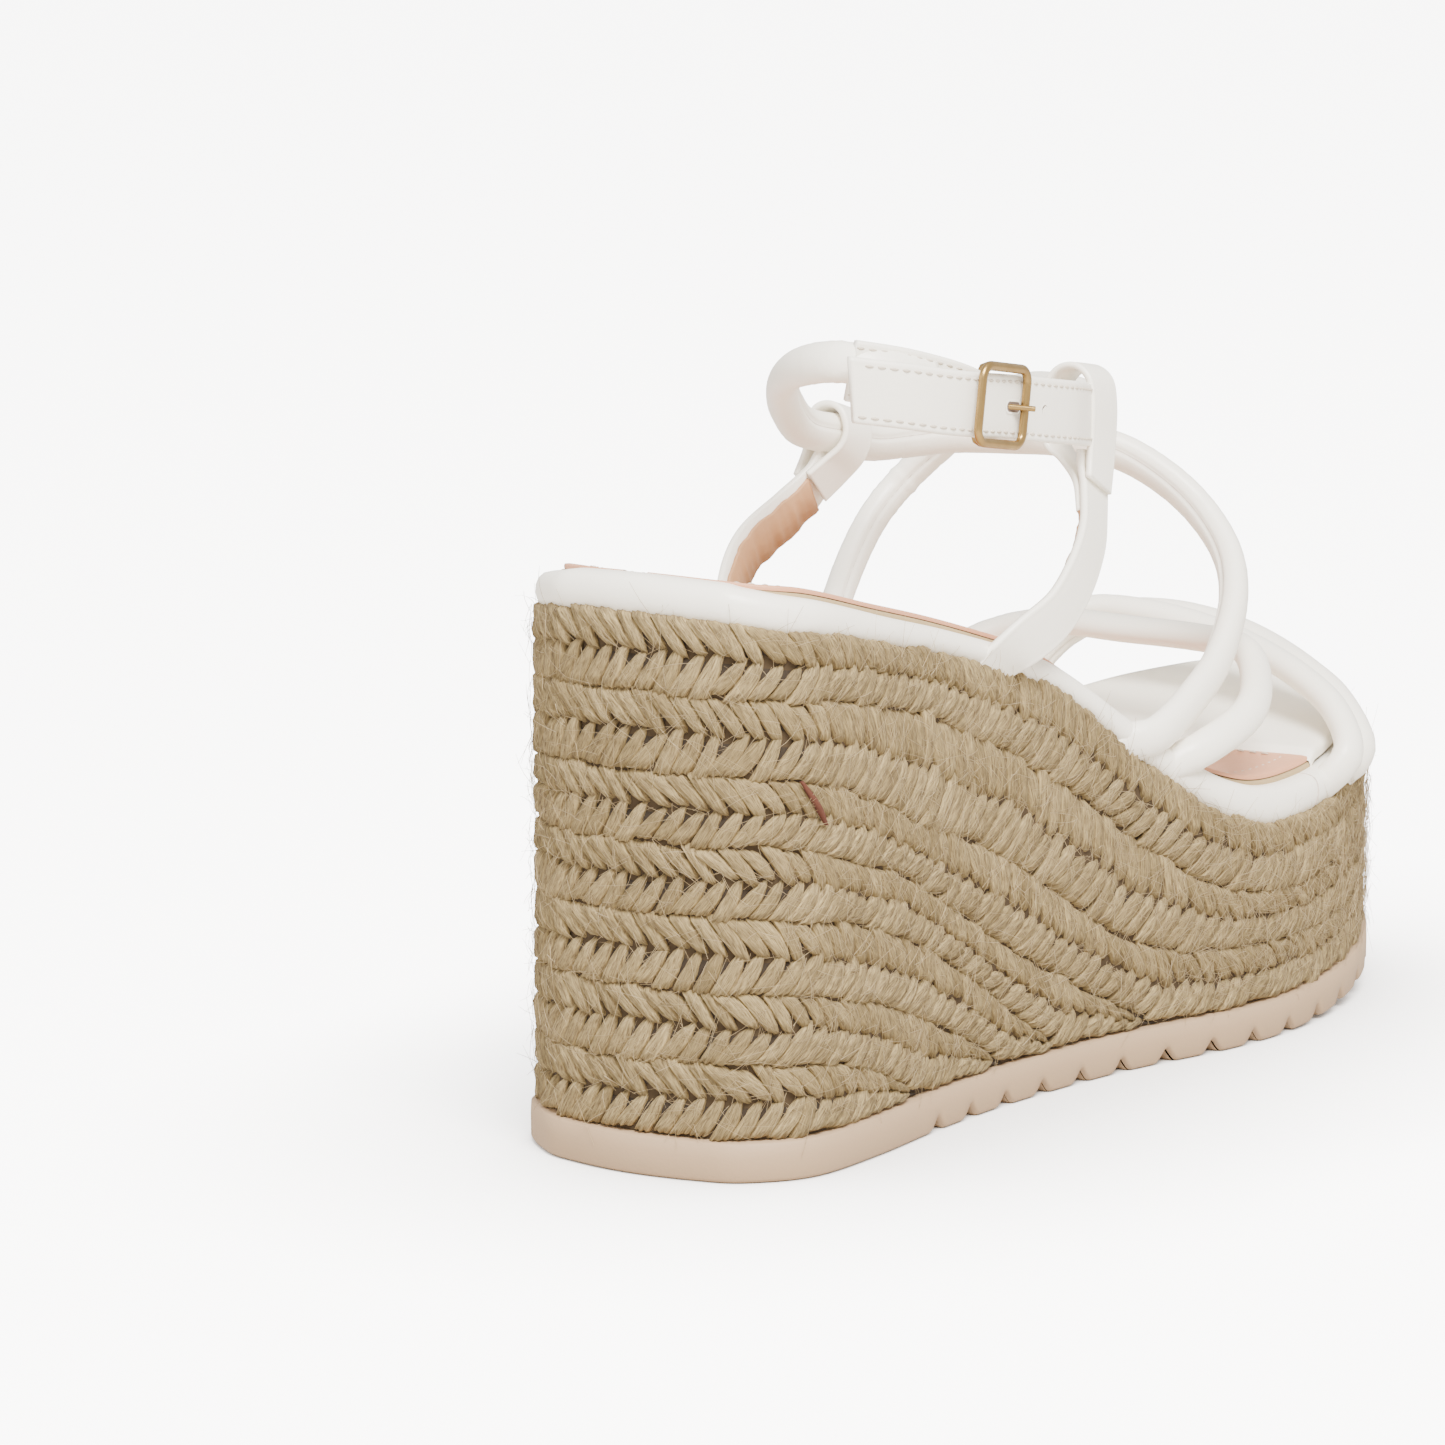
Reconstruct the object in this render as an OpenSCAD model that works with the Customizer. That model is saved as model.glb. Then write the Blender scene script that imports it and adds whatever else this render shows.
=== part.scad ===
// Wedge sandal, right foot: braided platform wedge, tubular straps, buckled ankle strap.
// X runs heel to toe, +Y is the inner side of the foot, Z is up; the origin is on the ground under
// the middle of the heel. Stations below count X from the back of the heel, HEEL behind the origin.

/* [Platform] */
// Overall length of the platform, heel to toe
len = 236; // [200:1:260]
// Height of the braided wall at the back of the heel
heel_h = 100; // [70:1:115]
// Height of the braided wall under the ball of the foot
ball_h = 41.5; // [30:0.5:55]
// Thickness of the braid that wraps the wedge
braid_t = 6; // [4:0.5:8]
// Height of the covered rim above the braid
rim_h = 6; // [4:0.5:9]

/* [Outsole] */
// Thickness of the outsole
sole_t = 7.4; // [5:0.2:10]
// Lift of the toe tip off the ground
toe_lift = 8.4; // [0:0.2:14]
// Spacing of the grip notches
notch_p = 11.5; // [8:0.5:15]
// Depth of the grip notches
notch_d = 3; // [1:0.5:4]

/* [Straps] */
// Width of the ankle tube
ankle_w = 7.6; // [6:0.2:9]
// Width of the other tubes
tube_w = 6.8; // [5:0.2:8]
// Thickness of every tube
tube_t = 5.4; // [4:0.2:7]
// Width of the flat strap with holes
strap_w = 11.6; // [10:0.2:13]
// Width of the two side straps
side_w = 10.4; // [9:0.2:12]

/* [Buckle] */
// Buckle length along the strap
buckle_l = 17.2; // [16.6:0.2:20]
// Buckle height across the strap
buckle_w = 15.3; // [15:0.1:18]
// Buckle wire thickness
wire_d = 1.7; // [1.5:0.1:1.8]

/* [Hidden] */
$fn = 32;
HEEL = 30;
row_gap = 0.1;
glue = 0.1;
module placed() translate([-HEEL, 0, 0]) children();

// ---- curves -------------------------------------------------------------------------
function seg(k, x, i = 0) = i >= len(k) - 2 || x < k[i + 1][0] ? i : seg(k, x, i + 1);
function slope(k, i) = let(a = max(0, i - 1), b = min(len(k) - 1, i + 1))
  (k[b][1] - k[a][1]) / (k[b][0] - k[a][0]);
// Smooth height through the listed stations [x, z].
function smooth(k, x) = let(i = seg(k, x), w = k[i + 1][0] - k[i][0],
    t = min(1, max(0, (x - k[i][0]) / w)), a = k[i][1], b = k[i + 1][1],
    m = slope(k, i) * w, n = slope(k, i + 1) * w)
  a + m * t + (3 * (b - a) - 2 * m - n) * t * t + (m + n - 2 * (b - a)) * t * t * t;
function lift(x) = x < 150 ? 0 : toe_lift * pow((x - 150) / 86, 2);

// Top of the braided wall, and the seams between its rows, by distance from the heel.
TOP = [[0, heel_h], [10, heel_h - 2.5], [20, heel_h - 4], [41, heel_h - 8.5], [62, heel_h - 13.5],
  [80, heel_h - 19], [95, 75.5], [107, 68.5], [116, 62], [125, 55.5], [134, 49.5], [144, 44.5],
  [156, ball_h], [172, ball_h + 0.2], [190, ball_h + 1.8], [214, ball_h + 4.7], [236, ball_h + 8.4]];
SEAM1 = [[0, 86], [10, 84.7], [26, 83], [52, 77], [76, 68], [92, 60.5], [107, 51.7], [120, 42.8],
  [133, 35], [146, 29.8], [160, 28], [177, 28.5], [205, 31.5], [236, 37.5]];
SEAM2 = [[0, 72], [13, 70.5], [30, 66.2], [52, 57.2], [76, 48.2], [96, 37.3], [107, 30.5],
  [120, 23.3], [132, 20], [146, 18.7], [165, 18.3], [180, 18.8], [205, 21.5], [236, 26.8]];
SEAM3 = [[0, 59.2], [13, 58.8], [30, 53.7], [48, 48], [66, 38.3], [83, 28.8], [102, 19], [116, 12],
  [125, 8], [134, 3], [150, -10]];
SEAM4 = [[0, 46.8], [8, 46.3], [18, 45.2], [34, 41.5], [52, 35.3], [68, 27], [80, 19.2], [93, 11.2],
  [103, 5], [115, -5]];
SEAM5 = [[0, 33.6], [12, 32.7], [27, 29.7], [42, 25.4], [60, 18.3], [74, 12], [86, 5], [100, -6]];
SEAM6 = [[0, 20.6], [10, 20.1], [20, 19.3], [34, 16], [45, 11.7], [56, 6.5], [70, -2]];
function at(k, x) = x > k[len(k) - 1][0] ? k[len(k) - 1][1] : smooth(k, x);
function top(x) = at(TOP, x);
function sole_top(x) = sole_t + lift(x);

// Half widths of the platform: outer side negative Y, inner side positive Y.
OUTER = [[0, 0], [1.5, 13], [5, 22], [16, 30], [35, 31.3], [60, 30.2], [85, 31], [115, 35.2],
  [145, 43.2], [170, 45], [195, 41], [215, 32], [229, 19], [234.6, 7]];
INNER = [[236, 6], [234, 13], [229, 20.5], [215, 31], [195, 37], [170, 39], [145, 38], [115, 33.2],
  [85, 30], [60, 30.5], [35, 32], [16, 31], [5, 21], [1.5, 12]];
RING = concat([for (p = OUTER) [p[0], -p[1]]], INNER);
function cr(a, b, c, d, t) = 0.5 * (2 * b + (c - a) * t + (2 * a - 5 * b + 4 * c - d) * t * t
  + (3 * b - 3 * c + d - a) * t * t * t);
function closed(r, n) = let(m = len(r)) [for (i = [0:m - 1]) for (j = [0:n - 1])
  cr(r[(i + m - 1) % m], r[i], r[(i + 1) % m], r[(i + 2) % m], j / n)];
PLAN = [for (p = closed(RING, 3)) [p[0] * len / 236, p[1]]];

module plan(inset = 0) {
  if (inset == 0) polygon(PLAN); else offset(delta = -inset) polygon(PLAN);
}
// Heights by name: "ground", "sole", "top", "bed", or the seam list itself above the outsole.
function height(k, x, d) = let(c = max(0, min(236, x)))
  k == "ground" ? lift(c) : k == "sole" ? sole_top(c) : k == "top" ? top(c) : k == "bed" ? bed(c) + d
  : max(sole_top(c), at(k, c)) + d;
// Everything between two height curves, across the whole width, from x0 to x1.
module between(lo, hi, dl = 0, dh = 0, x0 = -5, x1 = 245, n = 48) {
  xs = [for (i = [0:n]) x0 + (x1 - x0) * i / n];
  translate([0, 70, 0]) rotate([90, 0, 0]) linear_extrude(140)
    polygon(concat([for (x = xs) [x, height(lo, x, dl)]],
      [for (i = [n:-1:0]) [xs[i], height(hi, xs[i], dh)]]));
}

// ---- platform -----------------------------------------------------------------------
module outsole() color([0.84, 0.76, 0.68]) placed() difference() {
  intersection() {
    translate([0, 0, -1]) linear_extrude(30) plan(0.3);
    between("ground", "sole");
  }
  for (i = [0:14]) let(x = 57 + notch_p * i, z = lift(x))
    translate([x, 60, z]) rotate([90, 0, 0]) linear_extrude(120)
      polygon([[-2.8, -1], [-2.2, 0], [-0.6, notch_d], [0.6, notch_d], [2.2, 0], [2.8, -1]]);
}
// One braid row: the wall between two seams, above the outsole, from the heel to x1.
module braid_row(upper, lower, tint, x1 = 245) color(tint) placed() intersection() {
  linear_extrude(120) difference() { plan(0); plan(braid_t); }
  between(lower, upper, dh = -row_gap, x1 = x1);
}
STRAW = [0.74, 0.66, 0.53];
STRAW2 = [0.70, 0.62, 0.49];
module braid_row_1() braid_row(TOP, SEAM1, STRAW);
module braid_row_2() braid_row(SEAM1, SEAM2, STRAW2);
module braid_row_3() braid_row(SEAM2, SEAM3, STRAW);
module braid_row_4() braid_row(SEAM3, SEAM4, STRAW2, 124);
module braid_row_5() braid_row(SEAM4, SEAM5, STRAW, 96);
module braid_row_6() braid_row(SEAM5, SEAM6, STRAW2, 79);
module braid_row_7() braid_row(SEAM6, "sole", STRAW, 52);

module wedge_core() color([0.45, 0.40, 0.35]) placed() intersection() {
  linear_extrude(120) plan(braid_t + 0.1);
  between("sole", "top");
}

// ---- footbed ------------------------------------------------------------------------
RIM = [[0, 6], [20, 5.6], [41, 4.6], [62, 4.2], [80, 4.4], [107, 5], [125, 6], [150, 6.6], [180, 5.6],
  [236, 5]];
function bed(x) = top(x) + at(RIM, max(0, x)) * rim_h / 6;
// A layer that follows the footbed, from a to b above its top, inset from the wall.
module layer(inset, a, b, x0 = -5, x1 = 245) intersection() {
  linear_extrude(130) plan(inset);
  between("bed", "bed", a, b, x0, x1);
}
module platform_rim() color([0.96, 0.95, 0.92]) placed() difference() {
  intersection() {
    linear_extrude(130) plan(2.4);
    between("top", "bed");
  }
  translate([0, 0, 20]) linear_extrude(130) plan(8.4);
}
module footbed_pad() color([0.80, 0.78, 0.70]) placed() intersection() {
  linear_extrude(130) plan(8.5);
  between("top", "bed");
}
module insole_board() color([0.72, 0.62, 0.45]) placed() layer(6.4, 0, 1.4);
module sock_lining() color([0.88, 0.72, 0.64]) placed() layer(6.8, 1.4 + glue, 2.2, -5, 179.8);
module toe_cover() color([0.95, 0.94, 0.92]) placed() layer(6.4, 1.4 + glue, 3.4, 180, 245);

// ---- straps -------------------------------------------------------------------------
function unit(v) = v / max(norm(v), 0.0001);
function pad(p) = concat([2 * p[0] - p[1]], p, [2 * p[len(p) - 1] - p[len(p) - 2]]);
function run(p, n) = let(q = pad(p)) concat([for (i = [1:len(p) - 1]) for (j = [0:n - 1])
  cr(q[i - 1], q[i], q[i + 1], q[i + 2], j / n)], [p[len(p) - 1]]);
function power(v, e) = sign(v) * pow(abs(v), e);
// A strap along the points p: w wide, t thick, its thickness facing away from the middle c.
// e = 1 gives an oval tube and a smaller e a flatter strap. off moves it outwards.
module strap(p, w, t, c, k = [0, 1, 0], e = 1, off = 0, n = 4, m = 12) {
  q = run(p, n);
  z = len(q) - 1;
  function dir(i) = unit(q[min(z, i + 1)] - q[max(0, i - 1)]);
  function out(i) = let(d = dir(i), r = [for (a = [0:2]) (q[i][a] - c[a]) * k[a]]) unit(r - d * (r * d));
  verts = [for (i = [0:z]) let(o = out(i), s = cross(dir(i), o)) for (j = [0:m - 1])
    q[i] + o * (off + t / 2 * power(cos(360 / m * j), e)) + s * (w / 2 * power(sin(360 / m * j), e))];
  sides = [for (i = [0:z - 1]) for (j = [0:m - 1]) let(a = i * m + j, b = i * m + (j + 1) % m)
    for (h = [0, 1]) h == 0 ? [a, a + m, b + m] : [a, b + m, b]];
  polyhedron(points = verts, faces = concat([[for (j = [0:m - 1]) j]], sides,
    [[for (j = [m - 1:-1:0]) z * m + j]]), convexity = 8);
}
LEATHER = [0.97, 0.96, 0.93];
TAN = [0.80, 0.62, 0.48];
// Midlines, from the platform upwards.
SIDE_OUTER = [[77, -25.5, 78.5], [78.8, -28.4, 82], [82, -31.6, 85.4], [89.6, -34.4, 90],
  [96.8, -34.8, 96], [104, -33.1, 102], [109, -30.5, 107.6], [111.8, -28.6, 112], [112.8, -28, 116.5]];
SIDE_INNER = [[78, 27, 77], [80.3, 30, 81.5], [85.2, 33.6, 88.7], [93.4, 35.3, 95.1],
  [102.1, 33.8, 100.3], [108.4, 32.6, 105], [112.4, 32, 110.5]];
INSTEP = [[118, 27.5, 55.5], [121.9, 34.6, 62.5], [128.8, 39.8, 71.1], [141.6, 44.6, 80.3],
  [153.3, 45.3, 91.5], [161.1, 41.6, 100.1], [162.5, 30.9, 109.8], [155.5, 18, 117.9], [145, 4, 122.3],
  [134, -9, 124.2], [126, -17.5, 124.9], [119.5, -22, 124.2]];
ANKLE = [[114, -26, 56], [118, -31, 61], [124.2, -35.4, 62.6], [137.5, -35.6, 67.6],
  [149.8, -34.1, 73.2], [161.6, -30.6, 82.3], [168.9, -24.5, 90.6], [171.2, -14.8, 99.5],
  [167.7, -4.2, 106.8], [161.6, 5.6, 110.1], [154.4, 14.7, 111], [146.4, 22.7, 111.5],
  [137.3, 27.5, 111.3], [126.4, 28.8, 112], [114.5, 28, 114.9], [102.4, 28.4, 117.8],
  [90.8, 24.5, 123.3], [75, 15.4, 128.9], [58.7, 4.2, 134.2], [47.5, -6.6, 138.1], [43.6, -16.5, 140],
  [48, -23.9, 138.6], [56.4, -27.3, 136.6]];
VAMP = [[125, -28, 51], [129, -33.5, 55], [136.1, -39.2, 58.8], [150.2, -40.3, 63],
  [163.1, -34.9, 67.3], [172.7, -26.5, 70.9], [180.5, -12.3, 70.5], [184.3, 5.8, 69.9],
  [184.2, 19.9, 70], [181.1, 30.9, 68.2], [174.1, 38, 63.4], [166, 37, 52.2], [163, 30, 44]];
TOE_REAR = [[178, -34, 40], [180, -39.6, 44], [184.6, -43.4, 50.5], [191.5, -36.5, 57.1],
  [197.2, -25.6, 61.7], [203, -13.2, 64.7], [207, -0.1, 67.1], [207, 13, 69], [204, 24, 69.5],
  [197, 33, 67], [188, 38, 60], [182, 37.5, 50], [179, 31, 42]];
TOE_FRONT = [[190, -31, 41], [192, -38.6, 45.2], [195.4, -40.3, 50.2], [201.1, -32.3, 57.1],
  [205.6, -22.8, 61.2], [211.6, -10.7, 64.3], [215.3, 1.1, 66.5], [215, 13, 68], [212, 23, 67.5],
  [206, 31, 64], [199, 35.3, 57], [194, 35, 50], [190, 29, 42.5]];
HOLED = [[114.1, -26.5, 122.9], [105.1, -30.3, 124.4], [96, -33.2, 126], [86.9, -34, 127.5],
  [78.9, -33.9, 128.9], [70.9, -33.9, 130.2], [62.9, -33.9, 131.4], [53.8, -32.4, 132.9],
  [45.8, -28.7, 134.6], [38.3, -22.2, 136.1]];
TAB = [[42.5, -19.6, 138.8], [49.5, -24.7, 137.1], [56.9, -28.1, 134.9], [62.3, -30, 133],
  [66.6, -30.7, 131.1]];

module side_strap_outer() color(LEATHER) placed() strap(SIDE_OUTER, side_w, 1.4, [0, 0, 0], e = 0.35);
module side_strap_outer_lining() color(TAN) placed()
  strap(SIDE_OUTER, side_w - 1, 0.8, [0, 0, 0], e = 0.35, off = -1.15);
module side_strap_inner() color(LEATHER) placed() strap(SIDE_INNER, side_w, 1.4, [0, 0, 0], e = 0.35);
module side_strap_inner_lining() color(TAN) placed()
  strap(SIDE_INNER, side_w - 1, 0.8, [0, 0, 0], e = 0.35, off = -1.15);
module instep_tube() color(LEATHER) placed()
  strap(INSTEP, tube_w, tube_t, [110, 0, 70], [0.4, 1, 0.6]);
module ankle_tube() color(LEATHER) placed()
  strap(ANKLE, ankle_w, tube_t, [100, 0, 60], [0.5, 1, 0.15]);
module vamp_tube() color(LEATHER) placed() strap(VAMP, tube_w, tube_t, [0, 0, 40], [0, 1, 1]);
module toe_tube_rear() color(LEATHER) placed() strap(TOE_REAR, tube_w, tube_t, [0, 0, 40], [0, 1, 1]);
module toe_tube_front() color(LEATHER) placed() strap(TOE_FRONT, tube_w, tube_t, [0, 0, 40], [0, 1, 1]);

// Keeper loops: bands sewn round the tubes at the top of each side strap.
module keeper(c, tilt, inner_y, inner_z, w = 9.5, t = 1.2) {
  translate(c) rotate([0, tilt, 0]) rotate([90, 0, 90]) translate([0, 0, -w / 2]) linear_extrude(w)
    difference() {
      offset(r = 2) square([inner_y + 2 * t - 4, inner_z + 2 * t - 4], center = true);
      offset(r = 1.6) square([inner_y - 3.2, inner_z - 3.2], center = true);
    }
}
module keeper_loop_outer() color(LEATHER) placed() keeper([115, -23.6, 123], 10, 9.2, 13.6);
module keeper_loop_inner() color(LEATHER) placed() keeper([114.5, 28.2, 114.9], 14, 7.6, 10.4);

// ---- buckle -------------------------------------------------------------------------
// The buckle stands on the straight run of the holed strap. Its own frame has x along the
// strap towards the toe, y inwards through the strap's thickness and z across the strap.
HUB = [67.2, -34, 130.9];
LEAN = 9.93;
rail_y = -1.95;
bar_y = 3.2;
bar_r = 0.8;
module on_buckle() translate(HUB) rotate([0, LEAN, 0]) children();
module rod(a, b, r) {
  v = b - a;
  translate(a) rotate([0, acos(v[2] / norm(v)), atan2(v[1], v[0])]) cylinder(r = r, h = norm(v));
}
module hole_strap() color(LEATHER) placed() difference() {
  strap(HOLED, strap_w, 1.8, [75, 0, 0], [0.5, 1, 0], e = 0.3);
  on_buckle() for (x = [6.7, 16.5, -3.1])
    rotate([90, 0, 0]) translate([x, 0, -3]) {
      cylinder(r = x == 6.7 ? 1.1 : 1, h = 6);
      if (x == 6.7) translate([-5.2, -1.1, 0]) cube([5.2, 2.2, 6]);
    }
}
module buckle_tab() color(LEATHER) placed() difference() {
  union() {
    strap(TAB, 11, 2, [75, 0, 0], [0.5, 1, 0], e = 0.3);
    on_buckle() translate([0, bar_y, 0]) cylinder(r = 2, h = 11, center = true);
  }
  on_buckle() translate([0, bar_y, 0]) {
    cylinder(r = bar_r + 0.06, h = 30, center = true);
    translate([1, 0, 0]) cube([9, 7, 2.4], center = true);
  }
}
module buckle_frame() color([0.72, 0.58, 0.36]) placed() on_buckle() {
  r = wire_d / 2;
  l = buckle_l / 2 - r;
  h = buckle_w / 2 - r;
  for (s = [-1, 1]) {
    translate([s * l, rail_y, -h]) cylinder(r = r, h = 2 * h);
    rod([-l, rail_y, s * h], [l, rail_y, s * h], r);
    rod([0, rail_y, s * h], [0, bar_y, s * h], r);
    for (q = [-1, 1]) translate([s * l, rail_y, q * h]) sphere(r = r);
    translate([0, bar_y, s * h]) sphere(r = r);
  }
  translate([0, bar_y, -h]) cylinder(r = bar_r, h = 2 * h);
}
module buckle_prong() color([0.72, 0.58, 0.36]) placed() on_buckle() difference() {
  union() {
    translate([0, bar_y, 0]) cylinder(r = 1.7, h = 1.8, center = true);
    rod([0.7, bar_y - 0.8, 0], [7.7, -4.05, 0], 0.5);
  }
  translate([0, bar_y, 0]) cylinder(r = bar_r + 0.06, h = 6, center = true);
}

outsole();
wedge_core();
braid_row_1();
braid_row_2();
braid_row_3();
braid_row_4();
braid_row_5();
braid_row_6();
braid_row_7();
platform_rim();
footbed_pad();
insole_board();
sock_lining();
toe_cover();
side_strap_outer();
side_strap_outer_lining();
side_strap_inner();
side_strap_inner_lining();
keeper_loop_outer();
keeper_loop_inner();
instep_tube();
ankle_tube();
hole_strap();
buckle_tab();
buckle_frame();
buckle_prong();
vamp_tube();
toe_tube_rear();
toe_tube_front();
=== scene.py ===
"""Wedge sandal: braided jute wedge, tubular straps and a buckled ankle strap."""
import math
import random

import bmesh
import bpy
import numpy as np
from mathutils import Matrix, Vector


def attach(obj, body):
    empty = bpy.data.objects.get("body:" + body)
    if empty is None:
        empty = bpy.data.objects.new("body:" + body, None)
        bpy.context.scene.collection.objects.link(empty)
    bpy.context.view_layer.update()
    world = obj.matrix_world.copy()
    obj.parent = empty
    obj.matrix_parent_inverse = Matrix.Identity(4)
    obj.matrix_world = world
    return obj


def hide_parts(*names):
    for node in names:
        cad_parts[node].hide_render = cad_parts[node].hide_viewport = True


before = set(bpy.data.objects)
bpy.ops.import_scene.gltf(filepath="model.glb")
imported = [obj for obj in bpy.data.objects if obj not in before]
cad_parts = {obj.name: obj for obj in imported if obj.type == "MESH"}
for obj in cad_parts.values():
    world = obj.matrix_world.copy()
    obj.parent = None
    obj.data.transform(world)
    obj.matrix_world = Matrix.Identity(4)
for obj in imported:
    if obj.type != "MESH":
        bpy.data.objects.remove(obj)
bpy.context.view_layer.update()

MM = 0.001
HEEL_BACK = 30.0          # the heel's back lies this far behind the origin, in mm
LENGTH = 236.0
SOLE_THICK = 7.4
TOE_LIFT = 8.4


# ---- curves of the platform, in mm from the back of the heel ------------------------------

TOP_LINE = [(0, 100), (10, 97.5), (20, 96), (41, 91.5), (62, 86.5), (80, 81), (95, 75.5),
            (107, 68.5), (116, 62), (125, 55.5), (134, 49.5), (144, 44.5), (156, 41.5),
            (172, 41.7), (190, 43.3), (214, 46.2), (236, 49.9)]
SEAMS = [
    TOP_LINE,
    [(0, 86), (10, 84.7), (26, 83), (52, 77), (76, 68), (92, 60.5), (107, 51.7), (120, 42.8),
     (133, 35), (146, 29.8), (160, 28), (177, 28.5), (205, 31.5), (236, 37.5)],
    [(0, 72), (13, 70.5), (30, 66.2), (52, 57.2), (76, 48.2), (96, 37.3), (107, 30.5),
     (120, 23.3), (132, 20), (146, 18.7), (165, 18.3), (180, 18.8), (205, 21.5), (236, 26.8)],
    [(0, 59.2), (13, 58.8), (30, 53.7), (48, 48), (66, 38.3), (83, 28.8), (102, 19), (116, 12),
     (125, 8), (134, 3), (150, -10)],
    [(0, 46.8), (8, 46.3), (18, 45.2), (34, 41.5), (52, 35.3), (68, 27), (80, 19.2),
     (93, 11.2), (103, 5), (115, -5)],
    [(0, 33.6), (12, 32.7), (27, 29.7), (42, 25.4), (60, 18.3), (74, 12), (86, 5), (100, -6)],
    [(0, 20.6), (10, 20.1), (20, 19.3), (34, 16), (45, 11.7), (56, 6.5), (70, -2)],
    [(0, -20), (236, -20)],
]
RIM_HEIGHT = [(0, 6), (20, 5.6), (41, 4.6), (62, 4.2), (80, 4.4), (107, 5), (125, 6),
              (150, 6.6), (180, 5.6), (236, 5)]
OUTER_SIDE = [(0, 0), (1.5, 13), (5, 22), (16, 30), (35, 31.3), (60, 30.2), (85, 31),
              (115, 35.2), (145, 43.2), (170, 45), (195, 41), (215, 32), (229, 19), (234.6, 7)]
INNER_SIDE = [(236, 6), (234, 13), (229, 20.5), (215, 31), (195, 37), (170, 39), (145, 38),
              (115, 33.2), (85, 30), (60, 30.5), (35, 32), (16, 31), (5, 21), (1.5, 12)]


def smooth(stations, x):
    """Height of a smooth line through the stations at x."""
    x = min(max(x, stations[0][0]), stations[-1][0])
    i = 0
    while i < len(stations) - 2 and x >= stations[i + 1][0]:
        i += 1

    def slope(j):
        a, b = stations[max(0, j - 1)], stations[min(len(stations) - 1, j + 1)]
        return (b[1] - a[1]) / (b[0] - a[0])

    (xa, a), (xb, b) = stations[i], stations[i + 1]
    w = xb - xa
    t = (x - xa) / w
    m, n = slope(i) * w, slope(i + 1) * w
    return a + m * t + (3 * (b - a) - 2 * m - n) * t ** 2 + (m + n - 2 * (b - a)) * t ** 3


def lift(x):
    return 0.0 if x < 150 else TOE_LIFT * ((x - 150) / 86) ** 2


def sole_top(x):
    return SOLE_THICK + lift(x)


def top(x):
    return smooth(TOP_LINE, x)


def bed(x):
    return top(x) + smooth(RIM_HEIGHT, x)


def seam_height(k, x):
    return max(sole_top(x), smooth(SEAMS[k], x))


def round_trip(points, steps):
    """Smooth closed line through the points, as an array."""
    p = np.array(points, float)
    m = len(p)
    out = []
    for i in range(m):
        a, b, c, d = p[i - 1], p[i], p[(i + 1) % m], p[(i + 2) % m]
        for j in range(steps):
            t = j / steps
            out.append(0.5 * (2 * b + (c - a) * t + (2 * a - 5 * b + 4 * c - d) * t * t
                              + (3 * b - 3 * c + d - a) * t ** 3))
    return np.array(out)


def even(points, count, closed=True):
    """The same line with evenly spaced points."""
    p = np.vstack([points, points[:1]]) if closed else np.array(points)
    step = np.r_[0, np.cumsum(np.linalg.norm(np.diff(p[:, :3], axis=0), axis=1))]
    where = np.linspace(0, step[-1], count + (1 if closed else 0))
    if closed:
        where = where[:-1]
    return np.stack([np.interp(where, step, p[:, k]) for k in range(p.shape[1])], 1)


PLAN = even(round_trip([(x, -y) for x, y in OUTER_SIDE] + INNER_SIDE, 12), 420)


def outward_of(line):
    along = np.roll(line, -1, 0) - np.roll(line, 1, 0)
    n = np.stack([along[:, 1], -along[:, 0]], 1)
    return n / np.linalg.norm(n, axis=1)[:, None]


PLAN_OUT = outward_of(PLAN)


def plan_inset(d):
    return PLAN - PLAN_OUT * d


def metres(p):
    p = np.asarray(p, float)
    return (p - np.array([HEEL_BACK, 0, 0])) * MM


# ---- meshes -------------------------------------------------------------------------------

def new_object(name, verts, faces, material=None, smooth_faces=True, uvs=None):
    mesh = bpy.data.meshes.new(name)
    mesh.from_pydata([tuple(v) for v in verts], [], faces)
    if uvs is not None:
        layer = mesh.uv_layers.new(name="UVMap")
        corner = np.empty(len(mesh.loops), np.int32)
        mesh.loops.foreach_get("vertex_index", corner)
        layer.data.foreach_set("uv", np.asarray(uvs, np.float32)[corner].ravel())
    mesh.polygons.foreach_set("use_smooth", [smooth_faces] * len(mesh.polygons))
    if material:
        mesh.materials.append(material)
    obj = bpy.data.objects.new(name, mesh)
    bpy.context.scene.collection.objects.link(obj)
    return obj


def loft_faces(rows, cols, closed_cols=True, closed_rows=False, flip=False):
    faces = []
    for i in range(rows if closed_rows else rows - 1):
        for j in range(cols if closed_cols else cols - 1):
            a, b = i * cols + j, i * cols + (j + 1) % cols
            c, d = ((i + 1) % rows) * cols + (j + 1) % cols, ((i + 1) % rows) * cols + j
            faces.append((a, d, c, b) if flip else (a, b, c, d))
    return faces


def loft(name, rings, material, closed_rings=True, caps=(False, False), flip=False):
    """A skin over rings of equal length, given in mm."""
    rows, cols = len(rings), len(rings[0])
    verts = metres(np.vstack(rings))
    faces = loft_faces(rows, cols, closed_rings, False, flip)
    if caps[0]:
        first = list(range(cols))
        faces.append(tuple(first if flip else first[::-1]))
    if caps[1]:
        last = list(range((rows - 1) * cols, rows * cols))
        faces.append(tuple(last[::-1] if flip else last))
    return new_object(name, verts, faces, material)


def join(name, parts):
    """One object from several, keeping materials and attributes."""
    bpy.ops.object.select_all(action="DESELECT")
    for p in parts:
        p.select_set(True)
    bpy.context.view_layer.objects.active = parts[0]
    if len(parts) > 1:
        bpy.ops.object.join()
    obj = parts[0]
    obj.name = obj.data.name = name
    obj.select_set(False)
    return obj


def plan_ring(inset, height):
    """The platform's outline moved in by inset, at height(x)."""
    ring = plan_inset(inset)
    return np.column_stack([ring, [height(min(max(x, 0), LENGTH)) for x in PLAN[:, 0]]])


# ---- node trees ---------------------------------------------------------------------------

def add(tree, kind, **values):
    n = tree.nodes.new(kind)
    for key, value in values.items():
        setattr(n, key, value)
    return n


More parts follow.
